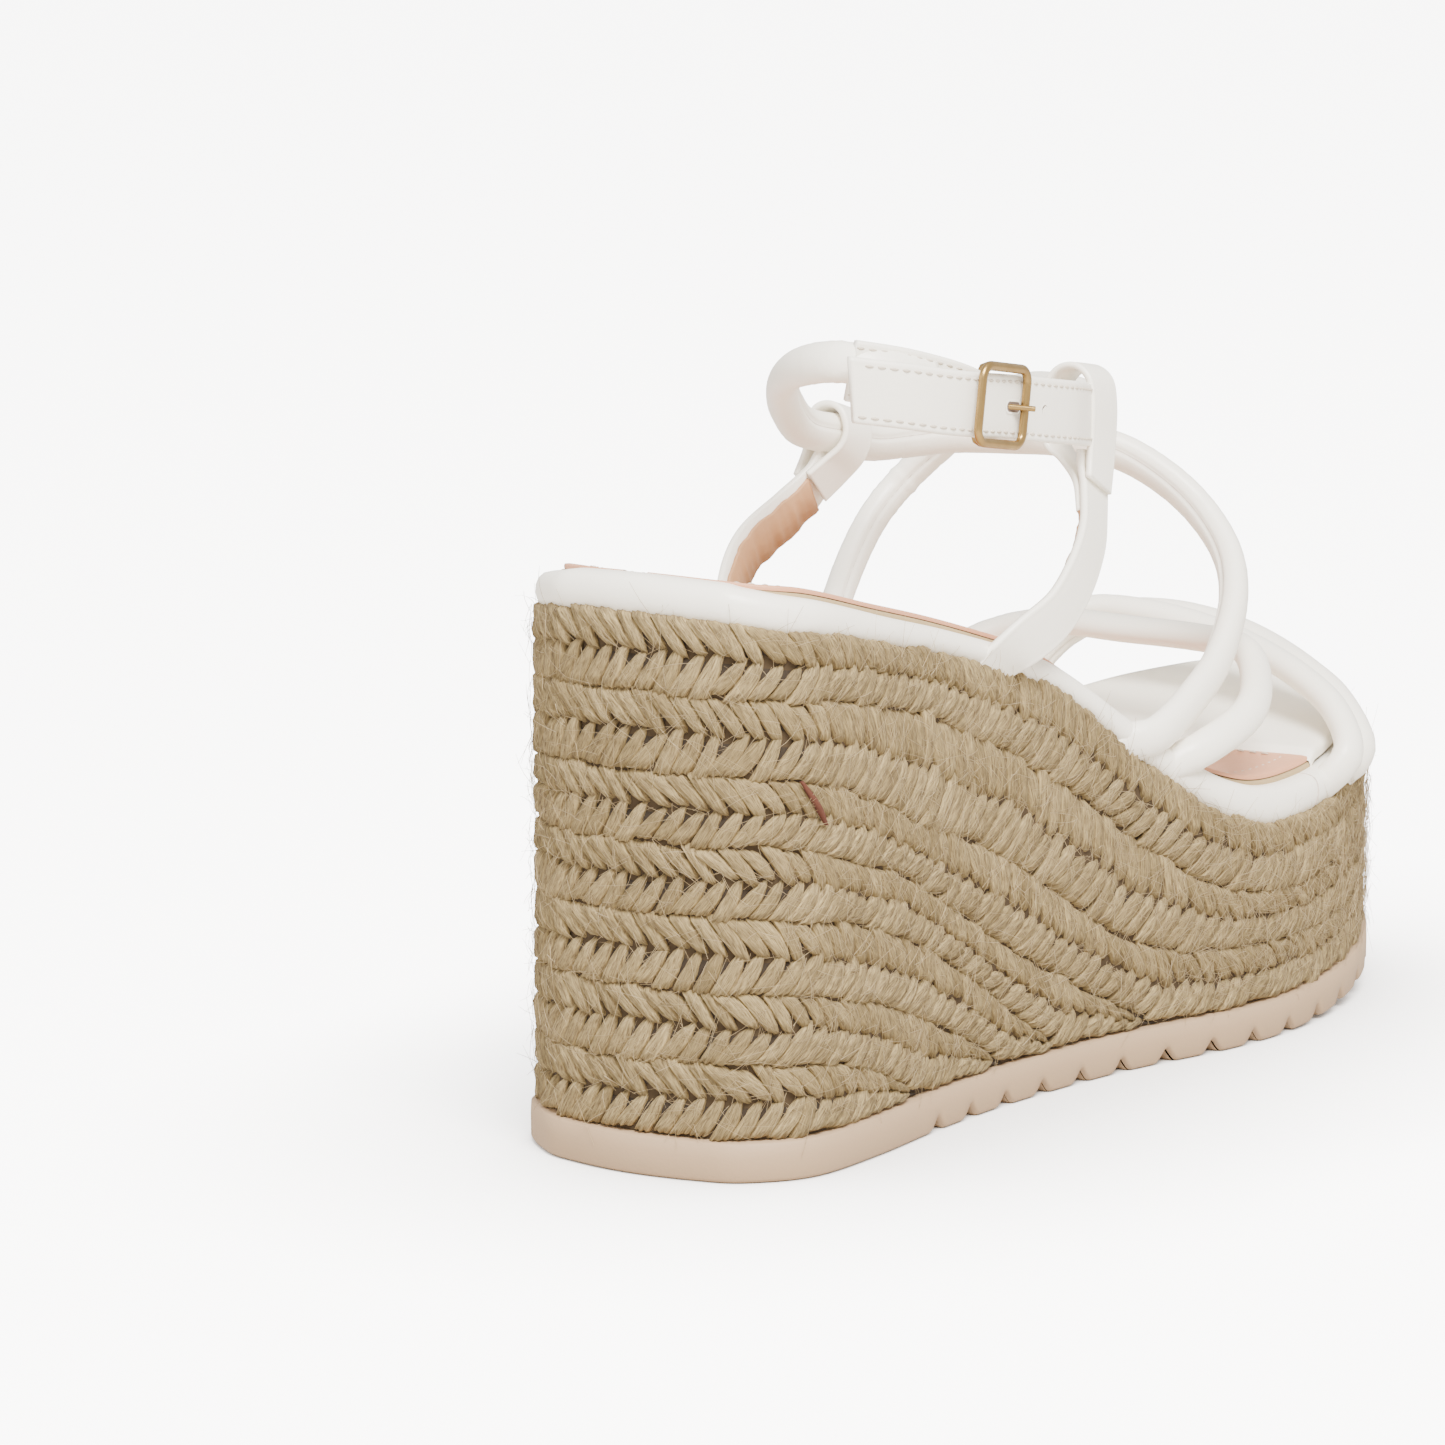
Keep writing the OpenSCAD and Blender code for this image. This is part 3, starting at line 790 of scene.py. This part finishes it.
def loose_fibres(name, count, seed):
    """Fine stray fibres that stand off the braid."""
    rng = np.random.default_rng(seed)
    verts, faces, uvs = [], [], []
    n = len(PLAN)
    for _ in range(count):
        i = rng.integers(n)
        x = PLAN[i, 0]
        z = sole_top(x) + 2.5 + rng.random() * (top(x) - sole_top(x) - 2.5)
        out = np.array([*PLAN_OUT[i], 0.0])
        side = np.array([-PLAN_OUT[i, 1], PLAN_OUT[i, 0], 0.0])
        p = np.array([*(PLAN[i] - PLAN_OUT[i] * 1.0), z])
        heading = side * rng.normal(0, 1) + np.array([0, 0, 1.0]) * rng.normal(0, 0.9)
        heading /= np.linalg.norm(heading)
        curl = rng.normal(0, 0.25, 3)
        step = rng.uniform(0.7, 2.1)
        rise = rng.uniform(0.05, 0.45) if rng.random() < 0.9 else rng.uniform(0.45, 0.8)
        r = rng.uniform(0.035, 0.065)
        base = len(verts)
        tone = rng.random() * 9
        for s in range(5):
            t = s / 4
            bow = out * (rise * math.sin(math.pi * (0.15 + 0.7 * t)) * 1.6)
            q = p + heading * (step * s) + curl * s * s * 0.22 + bow
            w = np.cross(heading, out)
            w /= np.linalg.norm(w) + 1e-9
            for c, d in ((1, 0), (-0.5, 0.87), (-0.5, -0.87)):
                verts.append(q + (w * c + out * d) * r * (1 - 0.5 * t))
                uvs.append((tone + t, tone * 3 + c))
        for s in range(4):
            for j in range(3):
                a, b = base + s * 3 + j, base + s * 3 + (j + 1) % 3
                faces.append((a, b, b + 3, a + 3))
    obj = new_object(name, metres(verts), faces, JUTE_FUZZ, True, uvs)
    tone_of = obj.data.attributes.new("tone", "FLOAT", "POINT")
    tone_of.data.foreach_set("value", np.repeat(rng.uniform(0.0, 1.0, count), 15).astype("f4"))
    return obj


# ---- straps -------------------------------------------------------------------------------

SIDE_OUTER = [(77, -25.5, 78.5), (78.8, -28.4, 82), (82, -31.6, 85.4), (89.6, -34.4, 90),
              (96.8, -34.8, 96), (104, -33.1, 102), (109, -30.5, 107.6), (111.8, -28.6, 112),
              (112.8, -28, 116.5)]
SIDE_INNER = [(78, 27, 77), (80.3, 30, 81.5), (85.2, 33.6, 88.7), (93.4, 35.3, 95.1),
              (102.6, 33.2, 100.6), (109.4, 30.8, 105.6), (113.4, 29.8, 110.6)]
INSTEP = [(118, 27.5, 55.5), (121.9, 34.6, 62.5), (128.8, 39.8, 71.1), (141.6, 44.6, 80.3),
          (153.3, 45.3, 91.5), (161.1, 41.6, 100.1), (162.5, 30.9, 109.8), (155.5, 18, 117.9),
          (145, 4, 122.3), (134, -9, 124.2), (126, -17.5, 124.9), (119.5, -22, 124.2)]
ANKLE = [(114, -26, 56), (118, -31, 61), (124.2, -35.4, 62.6), (137.5, -35.6, 67.6),
         (149.8, -34.1, 73.2), (161.6, -30.6, 82.3), (168.9, -24.5, 90.6), (171.2, -14.8, 99.5),
         (167.7, -4.2, 106.8), (161.6, 5.6, 110.1), (154.4, 14.7, 111), (146.4, 22.7, 111.5),
         (137.3, 27.5, 111.3), (126.4, 28.8, 112), (114.5, 28, 114.9), (102.4, 28.4, 117.8),
         (90.8, 24.5, 123.3), (75, 15.4, 128.9), (58.7, 4.2, 134.2), (47.5, -6.6, 138.1),
         (43.6, -16.5, 140), (48, -23.9, 138.6), (56.4, -27.3, 136.6)]
VAMP = [(125, -28, 51), (129, -33.5, 55), (136.1, -39.2, 58.8), (150.2, -40.3, 63),
        (163.1, -34.9, 67.3), (172.7, -26.5, 70.9), (180.5, -12.3, 70.5), (184.3, 5.8, 69.9),
        (184.2, 19.9, 70), (181.1, 30.9, 68.2), (174.1, 38, 63.4), (166, 37, 52.2), (163, 30, 44)]
TOE_REAR = [(178, -34, 40), (180, -39.6, 44), (184.6, -43.4, 50.5), (191.5, -36.5, 57.1),
            (197.2, -25.6, 61.7), (203, -13.2, 64.7), (207, -0.1, 67.1), (207, 13, 69),
            (204, 24, 69.5), (197, 33, 67), (188, 38, 60), (182, 37.5, 50), (179, 31, 42)]
TOE_FRONT = [(190, -31, 41), (192, -38.6, 45.2), (195.4, -40.3, 50.2), (201.1, -32.3, 57.1),
             (205.6, -22.8, 61.2), (211.6, -10.7, 64.3), (215.3, 1.1, 66.5), (215, 13, 68),
             (212, 23, 67.5), (206, 31, 64), (199, 35.3, 57), (194, 35, 50), (190, 29, 42.5)]
HOLED = [(114.1, -26.5, 122.9), (105.1, -30.3, 124.4), (96, -33.2, 126), (86.9, -34, 127.5),
         (78.9, -33.9, 128.9), (70.9, -33.9, 130.2), (62.9, -33.9, 131.4), (53.8, -32.4, 132.9),
         (45.8, -28.7, 134.6), (38.3, -22.2, 136.1)]
TAB = [(42.5, -19.6, 138.8), (49.5, -24.7, 137.1), (56.9, -28.1, 134.9), (62.3, -30, 133),
       (66.6, -30.7, 131.1)]


def route(points, steps):
    p = np.array(points, float)
    p = np.vstack([2 * p[0] - p[1], p, 2 * p[-1] - p[-2]])
    out = []
    for i in range(1, len(p) - 2):
        a, b, c, d = p[i - 1:i + 3]
        for j in range(steps):
            t = j / steps
            out.append(0.5 * (2 * b + (c - a) * t + (2 * a - 5 * b + 4 * c - d) * t * t
                              + (3 * b - 3 * c + d - a) * t ** 3))
    out.append(p[-2])
    return np.array(out)


def frames(line, centre, weight):
    """Direction, outward and sideways of a strap at each of its points."""
    d = np.gradient(line, axis=0)
    d /= np.linalg.norm(d, axis=1)[:, None]
    r = (line - np.array(centre)) * np.array(weight)
    r -= d * (r * d).sum(1)[:, None]
    o = r / np.linalg.norm(r, axis=1)[:, None]
    return d, o, np.cross(d, o)


SEAM_DEPTH = 0.86         # how far out a tube's seam lies, as a share of its radius


def tube_strap(name, points, width, thick, centre, weight, seam_turn, count=160, pucker=0.06,
               seed=0):
    """A padded leather tube with a stitched-in seam along it."""
    line = even(route(points, 10), count, closed=False)
    d, o, s = frames(line, centre, weight)
    rng = np.random.default_rng(seed)
    sides = 40
    angles = np.linspace(0, 2 * np.pi, sides, endpoint=False)
    gap = np.abs((angles - seam_turn + np.pi) % (2 * np.pi) - np.pi)
    groove = 1 - 0.16 * np.exp(-(gap / 0.10) ** 2)
    length = np.r_[0, np.cumsum(np.linalg.norm(np.diff(line, axis=0), axis=1))]
    turn = np.linalg.norm(np.gradient(d, axis=0), axis=1) / np.gradient(length)
    waves = sum(np.sin(length * f + rng.uniform(0, 6)) for f in (1.3, 2.1, 3.1)) / 3
    rings = []
    for k in range(len(line)):
        tuck = 1 + pucker * min(turn[k] * 12, 1.2) * waves[k] * 0.5
        section = groove * tuck
        rings.append(line[k] + np.outer(np.cos(angles) * thick / 2 * section, o[k])
                     + np.outer(np.sin(angles) * width / 2 * section, s[k]))
    tube = loft(name + "_skin", rings, WHITE_LEATHER, flip=False, caps=(True, True))
    # a narrow dark line in the bottom of the groove: painted shade in the seam
    seam = []
    for k in range(len(line)):
        for w in (-0.16, 0.16):
            a = seam_turn + w / (width / 2)
            seam.append(line[k] + o[k] * math.cos(a) * thick / 2 * SEAM_DEPTH
                        + s[k] * math.sin(a) * width / 2 * SEAM_DEPTH)
    thread = new_object(name + "_seam", metres(seam), loft_faces(len(line), 2, False), SEAM_PAINTED_SHADE)
    return join(name, [tube, thread])


STRAP_EDGE = [(-1, 0), (-0.985, 0.6), (-0.94, 0.92), (-0.86, 1.0), (-0.80, 0.93), (-0.72, 1.0),
              (-0.4, 1.04), (0, 1.06), (0.4, 1.04), (0.72, 1.0), (0.80, 0.93), (0.86, 1.0),
              (0.94, 0.92), (0.985, 0.6), (1, 0), (0.96, -1), (0, -1), (-0.96, -1)]


def band(name, line, d, o, s, width, thick, material, off=0.0, shift=0.0, wrinkle=0.0,
         slant=0.0, seed=0):
    """A flat band along a line, with softly rounded edges and, if asked, a slanted end."""
    rng = np.random.default_rng(seed)
    p1, p2, p3 = rng.uniform(0, 6, 3)
    length = np.r_[0, np.cumsum(np.linalg.norm(np.diff(line, axis=0), axis=1))]
    rings = []
    for k in range(len(line)):
        q = length[k]
        ripple = wrinkle * (abs(math.sin(q * 0.75 + p1)) + 0.6 * abs(math.sin(q * 1.3 + p2)) - 0.8)
        wavy = 1 + 0.05 * wrinkle / 0.3 * math.sin(q * 0.9 + p3)
        lean = slant * max(0, 1 - (length[-1] - q) / 6.0)
        ring = []
        for u, v in STRAP_EDGE:
            ring.append(line[k] + o[k] * (off + thick / 2 * v + ripple * (1 - 0.6 * u * u))
                        + s[k] * (shift + width / 2 * u * wavy) + d[k] * lean * u)
        rings.append(ring)
    return loft(name, rings, material, caps=(True, True), flip=True)


def flat_strap(name, points, width, thick, centre, weight, material, count=90, **more):
    line = even(route(points, 10), count, closed=False)
    return band(name, line, *frames(line, centre, weight), width, thick, material, **more)


def ribbon(name, points, sides, width, thick, material, count=110):
    """A band through the points whose width follows the given side directions."""
    both = even(route(np.hstack([points, sides]), 10), count, closed=False)
    line, s = both[:, :3], both[:, 3:]
    d = np.gradient(line, axis=0)
    d /= np.linalg.norm(d, axis=1)[:, None]
    s = s - d * (s * d).sum(1)[:, None]
    s /= np.linalg.norm(s, axis=1)[:, None]
    return band(name, line, d, np.cross(s, d), s, width, thick, material)


def edge_stitches(name, points, width, thick, centre, weight, inset=1.3, spacing=2.3, off=0.0,
                  sides=(-1, 1), span=(0.02, 0.98), seed=3):
    """Thread stitches near the edges of a flat strap."""
    line = even(route(points, 10), 160, closed=False)
    _, o, s = frames(line, centre, weight)
    a, b = int(span[0] * 159), int(span[1] * 159)
    parts = []
    for side in sides:
        p = line + s * (side * (width / 2 - inset)) + o * (off + thick / 2 * 0.98)
        parts.append(along_line("stitch", metres(p[a:b]), o[a:b], STITCH, spacing * MM, THREAD,
                                STITCH_TREE, 0.08, 0.04, seed + side))
    return join(name, parts)


def stitch_shape(length=1.5, thick=0.32):
    verts, faces = [], []
    sides, rings = 6, 5
    for i in range(rings):
        t = i / (rings - 1)
        r = thick * (0.45 + 0.55 * math.sin(math.pi * t))
        x = (t - 0.5) * length
        z = 0.10 * math.sin(math.pi * t) - 0.06
        for j in range(sides):
            a = 2 * math.pi * j / sides
            verts.append((x * MM, r * math.cos(a) * 0.8 * MM, (z + r * math.sin(a) * 0.8) * MM))
    faces = loft_faces(rings, sides, True, flip=True)
    faces.append(tuple(range(sides)))
    faces.append(tuple(range((rings - 1) * sides, rings * sides))[::-1])
    obj = new_object("stitch_shape", verts, faces)
    obj.hide_render = True
    return obj


STITCH = stitch_shape()
HUB = (67.2, -34, 130.9)
LEAN = 9.93
ACROSS_LEG, AROUND_FOOT = (0, 1, 0), (0, 1, 1)
FOOT_MID = (0, 0, 40)


# Each keeper loop is a band that leaves the side strap, goes over the tube and comes back down
# the inside as a short stitched flap.
LOOP_OUTER = [(110.6, -30.5, 110.6), (112.3, -29.8, 114),
              (113.8, -29.3, 119), (114.6, -29, 125), (115, -27.9, 129.6), (115.1, -24.9, 131.6),
              (115, -21.3, 130.7), (114.6, -18.9, 127), (114.2, -18.5, 121.5),
              (113.7, -19.9, 116.8), (112.8, -23.6, 113.6), (110.8, -27.6, 109.4),
              (107, -30.5, 104.2)]
LOOP_INNER = [(109.6, 32.3, 105.6), (113, 32.2, 110.5), (114.3, 32.3, 115.5),
              (114.6, 30.8, 119), (114.8, 28, 120), (114.8, 25.3, 118.8), (114.4, 23.9, 115.5),
              (113.4, 24.6, 112), (111.6, 27, 108.8), (108.6, 29.4, 105.6)]


def loop_sides(count, strap_side, loop_side, near):
    """Side directions that turn from the strap's to the loop's and back."""
    out = []
    for k in range(count):
        w = min(1.0, min(k, count - 1 - k) / near)
        out.append([a + (b - a) * w for a, b in zip(strap_side, loop_side)])
    return out


def hole(name, x, z, radius, slot=0.0):
    """A punched hole with a pressed rim, on the outer face of the holed strap; its inside is painted
    shade.
    """
    turn = Matrix.Rotation(math.radians(LEAN), 3, "Y")
    verts, faces = [], []
    sides = 28
    for r, depth in ((radius * 1.45, -0.93), (radius * 1.2, -1.02), (radius, -0.97),
                     (radius * 0.85, -0.95)):
        for j in range(sides):
            a = 2 * math.pi * j / sides
            dx = r * math.cos(a) - (slot if math.cos(a) < 0 else 0)
            p = turn @ Vector((x + dx, depth, z + r * math.sin(a)))
            verts.append((p.x + HUB[0], p.y + HUB[1], p.z + HUB[2]))
    faces = loft_faces(4, sides, True)
    rim = new_object(name, metres(verts), faces + [tuple(range(3 * sides, 4 * sides))],
                     WHITE_LEATHER)
    # the inner ring and the bottom of the hole are painted shade
    rim.data.materials.append(HOLE_PAINTED_SHADE)
    for f in range(2 * sides, 3 * sides + 1):
        rim.data.polygons[f].material_index = 1
    return rim


# ---- build --------------------------------------------------------------------------------

def finish_piece(obj, body, slot_name, *replaced):
    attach(obj, body)
    if replaced:
        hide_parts(*replaced)
    return obj


def build_platform():
    finish_piece(outsole(), "shoe", "rubber", "outsole")
    finish_piece(platform_rim(), "shoe", "leather", "platform_rim")
    finish_piece(wedge_backing(), "shoe", "jute")
    board = footbed_sheet("board_edge", 6.1, -5, 181, -0.2, 1.35, FIBRE_BOARD)
    finish_piece(board, "shoe", "board", "insole_board")
    sock = footbed_sheet("sock_sheet", 6.7, -5, 180.5, 1.2, 1.0, NUDE_SOCK, dish=0.6)
    finish_piece(sock, "shoe", "sock", "sock_lining")
    cover = footbed_sheet("toe_panel", 6.0, 179, 245, 1.0, 2.3, WHITE_LEATHER, dish=0.5,
                          rear_roll=1.6)
    finish_piece(cover, "shoe", "leather", "toe_cover")
    ring = plan_inset(11.5)
    keep = ring[:, 0] < 177
    start = np.where(~keep)[0][-1] + 1
    order = (np.arange(len(ring)) + start) % len(ring)
    order = order[keep[order]]
    pts = np.column_stack([ring, [bed(min(max(x, 0), LENGTH)) + 1.9 for x in ring[:, 0]]])
    ups = np.tile([0, 0, 1.0], (len(ring), 1))
    stitches = along_line("sock_stitches", metres(pts[order]), ups[order], STITCH, 2.6 * MM,
                          THREAD, STITCH_TREE, 0.08, 0.04, 5)
    front = [(177.6, y, bed(177.6) + 2.15) for y in np.linspace(-29, 26, 30)]
    across = along_line("front_stitches", metres(front), np.tile([0, 0, 1.0], (30, 1)), STITCH,
                        2.6 * MM, THREAD, STITCH_TREE, 0.08, 0.04, 6)
    finish_piece(join("sock_stitches", [stitches, across]), "shoe", "sock")


def build_braid():
    lower = strand_shape("strand_up", 8.5, 5.1, 3, 1, width=4.0)
    upper = strand_shape("strand_down", -7.7, 6.1, 3, 2, width=4.1)
    for k in range(7):
        row = braid_row(k, (lower, upper), 100 + 7 * k)
        finish_piece(row, "shoe", "jute", "braid_row_%d" % (k + 1))
    finish_piece(loose_fibres("stray_fibres", FUZZ_COUNT, 11), "shoe", "jute")
    finish_piece(caught_thread(), "shoe", "jute")
    for shape in (lower, upper):
        bpy.data.objects.remove(shape)


def build_straps():
    around = {
        "ankle_tube": (ANKLE, 7.6, 5.6, (100, 0, 60), (0.5, 1, 0.15), 3.6, 260),
        "instep_tube": (INSTEP, 6.8, 5.4, (110, 0, 70), (0.4, 1, 0.6), 2.7, 170),
        "vamp_tube": (VAMP, 6.8, 5.4, FOOT_MID, AROUND_FOOT, 2.4, 170),
        "toe_tube_rear": (TOE_REAR, 6.8, 5.4, FOOT_MID, AROUND_FOOT, 2.4, 150),
        "toe_tube_front": (TOE_FRONT, 6.8, 5.4, FOOT_MID, AROUND_FOOT, 3.6, 150),
    }
    for k, (node, spec) in enumerate(around.items()):
        points, width, thick, centre, weight, seam, count = spec
        piece = tube_strap(node + "_leather", points, width, thick, centre, weight, seam, count,
                           0.12 if node == "instep_tube" else 0.06, k)
        finish_piece(piece, "shoe", "leather", node)
    linings = {"outer": SIDE_OUTER[:-2], "inner": SIDE_INNER[:-2] + [(108.5, 31.15, 104.9)]}
    for side, points, shift in (("outer", SIDE_OUTER, 0.3), ("inner", SIDE_INNER, -0.6)):
        facing = ACROSS_LEG if side == "outer" else (-0.06, 1, 0)
        strap = flat_strap("side_band_" + side, points, 10.4, 1.4, (0, 0, 0), facing,
                           WHITE_LEATHER)
        finish_piece(strap, "shoe", "leather", "side_strap_" + side)
        lining = flat_strap("side_lining_" + side, linings[side], 8.4, 0.8, (0, 0, 0),
                            facing, TAN_LINING, count=150, off=-1.2, wrinkle=0.3,
                            shift=shift, seed=4)
        finish_piece(lining, "shoe", "lining", "side_strap_%s_lining" % side)
    holed = flat_strap("hole_band", HOLED, 11.6, 1.8, (75, 0, 0), (0.5, 1, 0), WHITE_LEATHER,
                       count=140, slant=1.3)
    parts = [holed, edge_stitches("hole_band_stitches", HOLED, 11.6, 1.9, (75, 0, 0),
                                  (0.5, 1, 0))]
    parts += [hole("hole_%d" % k, x, 0, 0.95, slot)
              for k, (x, slot) in enumerate(((6.7, 2.6), (16.5, 0)))]
    finish_piece(join("hole_band", parts), "shoe", "leather", "hole_strap")
    tab = flat_strap("tab_fold", TAB, 11, 2, (75, 0, 0), (0.5, 1, 0), WHITE_LEATHER, count=60)
    tab = join("tab_fold", [tab, edge_stitches("tab_stitches", TAB, 11, 2, (75, 0, 0),
                                               (0.5, 1, 0), span=(0.03, 0.9))])
    finish_piece(tab, "shoe", "leather", "buckle_tab")
    for side, points, strap_side, loop_side, width in (
            ("outer", LOOP_OUTER, (0.71, 0, -0.62), (0.985, 0.05, -0.17), 9.8),
            ("inner", LOOP_INNER, (-0.75, 0, 0.62), (-0.95, 0, 0.3), 9.2)):
        loop = ribbon("loop_band_" + side, points,
                      loop_sides(len(points), strap_side, loop_side, 3), width, 1.2,
                      WHITE_LEATHER)
        finish_piece(loop, "shoe", "leather", "keeper_loop_" + side)


def rod_rings(path, radius, ups, flat=1.0, sides=18):
    """Rings of a round or flattened wire along a path, in the buckle's own frame."""
    path = np.array(path, float)
    d = np.roll(path, -1, 0) - np.roll(path, 1, 0)
    d /= np.linalg.norm(d, axis=1)[:, None]
    rings = []
    for p, t in zip(path, d):
        side = np.cross(t, ups)
        side /= np.linalg.norm(side)
        rings.append([p + side * radius * math.cos(a) + np.array(ups) * radius * flat * math.sin(a)
                      for a in np.linspace(0, 2 * math.pi, sides, endpoint=False)])
    return rings


def buckle():
    """Rounded frame with a middle bar, standing on the holed strap."""
    turn = np.array(Matrix.Rotation(math.radians(LEAN), 3, "Y"))

    def stand(rings):
        return [np.array(r) @ turn.T + np.array(HUB) for r in rings]

    length, height, corner, rail, bar = 7.75, 6.8, 2.4, -1.95, 3.2
    path = []
    for cx, cz, a0 in ((length - corner, height - corner, 0), (-length + corner, height - corner, 90),
                       (-length + corner, -height + corner, 180),
                       (length - corner, -height + corner, 270)):
        for j in range(9):
            a = math.radians(a0 + 90 / 8 * j)
            path.append((cx + corner * math.cos(a), rail, cz + corner * math.sin(a)))
    rings = stand(rod_rings(path, 0.88, (0, 1, 0), 0.85))
    sides = len(rings[0])
    frame_ring = new_object("buckle_ring", metres(np.vstack(rings)),
                            loft_faces(len(rings), sides, True, True), BRASS)
    bent = [(0, rail + 0.2, height), (0, bar - 1.2, height), (0, bar - 0.35, height - 0.35),
            (0, bar, height - 1.2), (0, bar, 0), (0, bar, -height + 1.2),
            (0, bar - 0.35, -height + 0.35), (0, bar - 1.2, -height), (0, rail + 0.2, -height)]
    wire_path = np.array(bent)
    d = np.gradient(wire_path, axis=0)
    d /= np.linalg.norm(d, axis=1)[:, None]
    loops = []
    for p, t in zip(wire_path, d):
        side = np.array([1.0, 0, 0])
        up = np.cross(t, side)
        loops.append([p + side * 0.8 * math.cos(a) + up * 0.8 * math.sin(a)
                      for a in np.linspace(0, 2 * math.pi, 16, endpoint=False)])
    bar_piece = loft("buckle_bar", stand(loops), BRASS, caps=(True, True))
    return join("buckle_wire", [frame_ring, bar_piece])


def dress_cad_nodes():
    for name, material in (("wedge_core", CORK), ("footbed_pad", CORK), ("buckle_prong", BRASS)):
        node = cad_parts[name]
        for k in range(len(node.material_slots)):
            node.material_slots[k].material = material


def studio():
    floor = new_object("floor", [(-3, -3, 0), (3, -3, 0), (3, 3, 0), (-3, 3, 0)], [(0, 1, 2, 3)])
    mat, tree, shader = surface("pale_floor", (0.66, 0.62, 0.575), 0.9)
    shader.inputs["Emission Color"].default_value = (1, 1, 1, 1)
    # the floor glows for camera rays only so it reads white; ambient occlusion dims that glow near the
    # shoe, a painted contact shadow
    seen = add(tree, "ShaderNodeLightPath").outputs["Is Camera Ray"]
    near = add(tree, "ShaderNodeAmbientOcclusion", samples=8)
    near.inputs["Distance"].default_value = 0.09
    glow_with_painted_contact_shadow = maths(tree, "MULTIPLY", seen, maths(tree, "POWER", near.outputs["AO"], 2.2))
    wire(tree, maths(tree, "MULTIPLY", glow_with_painted_contact_shadow, 7.0), shader.inputs["Emission Strength"])
    floor.data.materials.append(mat)
    world = bpy.data.worlds.new("studio")
    world.use_nodes = True
    world.node_tree.nodes["Background"].inputs[0].default_value = (1, 0.965, 0.925, 1)
    world.node_tree.nodes["Background"].inputs[1].default_value = 1.5
    bpy.context.scene.world = world
    for name, where, size, power in (("key", (-0.72, -0.90, 1.55), 0.8, 112),
                                     ("fill", (-1.6, 0.5, 1.0), 1.6, 12)):
        lamp = bpy.data.lights.new(name, "AREA")
        lamp.size = size
        lamp.energy = power
        obj = bpy.data.objects.new(name, lamp)
        obj.location = where
        obj.rotation_euler = (Vector((0.05, 0, 0.05)) - obj.location).to_track_quat(
            "-Z", "Y").to_euler()
        bpy.context.scene.collection.objects.link(obj)


def camera():
    azimuth, elevation, distance = math.radians(33.07), math.radians(10.55), 1.400
    target = Vector((0.080, 0.0512, 0.0583))
    ahead = Vector((math.cos(azimuth) * math.cos(elevation),
                    math.sin(azimuth) * math.cos(elevation), -math.sin(elevation)))
    data = bpy.data.cameras.new("camera")
    data.sensor_width = 36
    data.lens = 183.5
    data.clip_end = 20
    obj = bpy.data.objects.new("camera", data)
    obj.location = target - ahead * distance
    obj.rotation_euler = ahead.to_track_quat("-Z", "Y").to_euler()
    bpy.context.scene.collection.objects.link(obj)
    bpy.context.scene.camera = obj


camera()
studio()
finish_piece(buckle(), "buckle", "brass", "buckle_frame")
dress_cad_nodes()
build_platform()
build_straps()
build_braid()
bpy.data.objects.remove(STITCH)
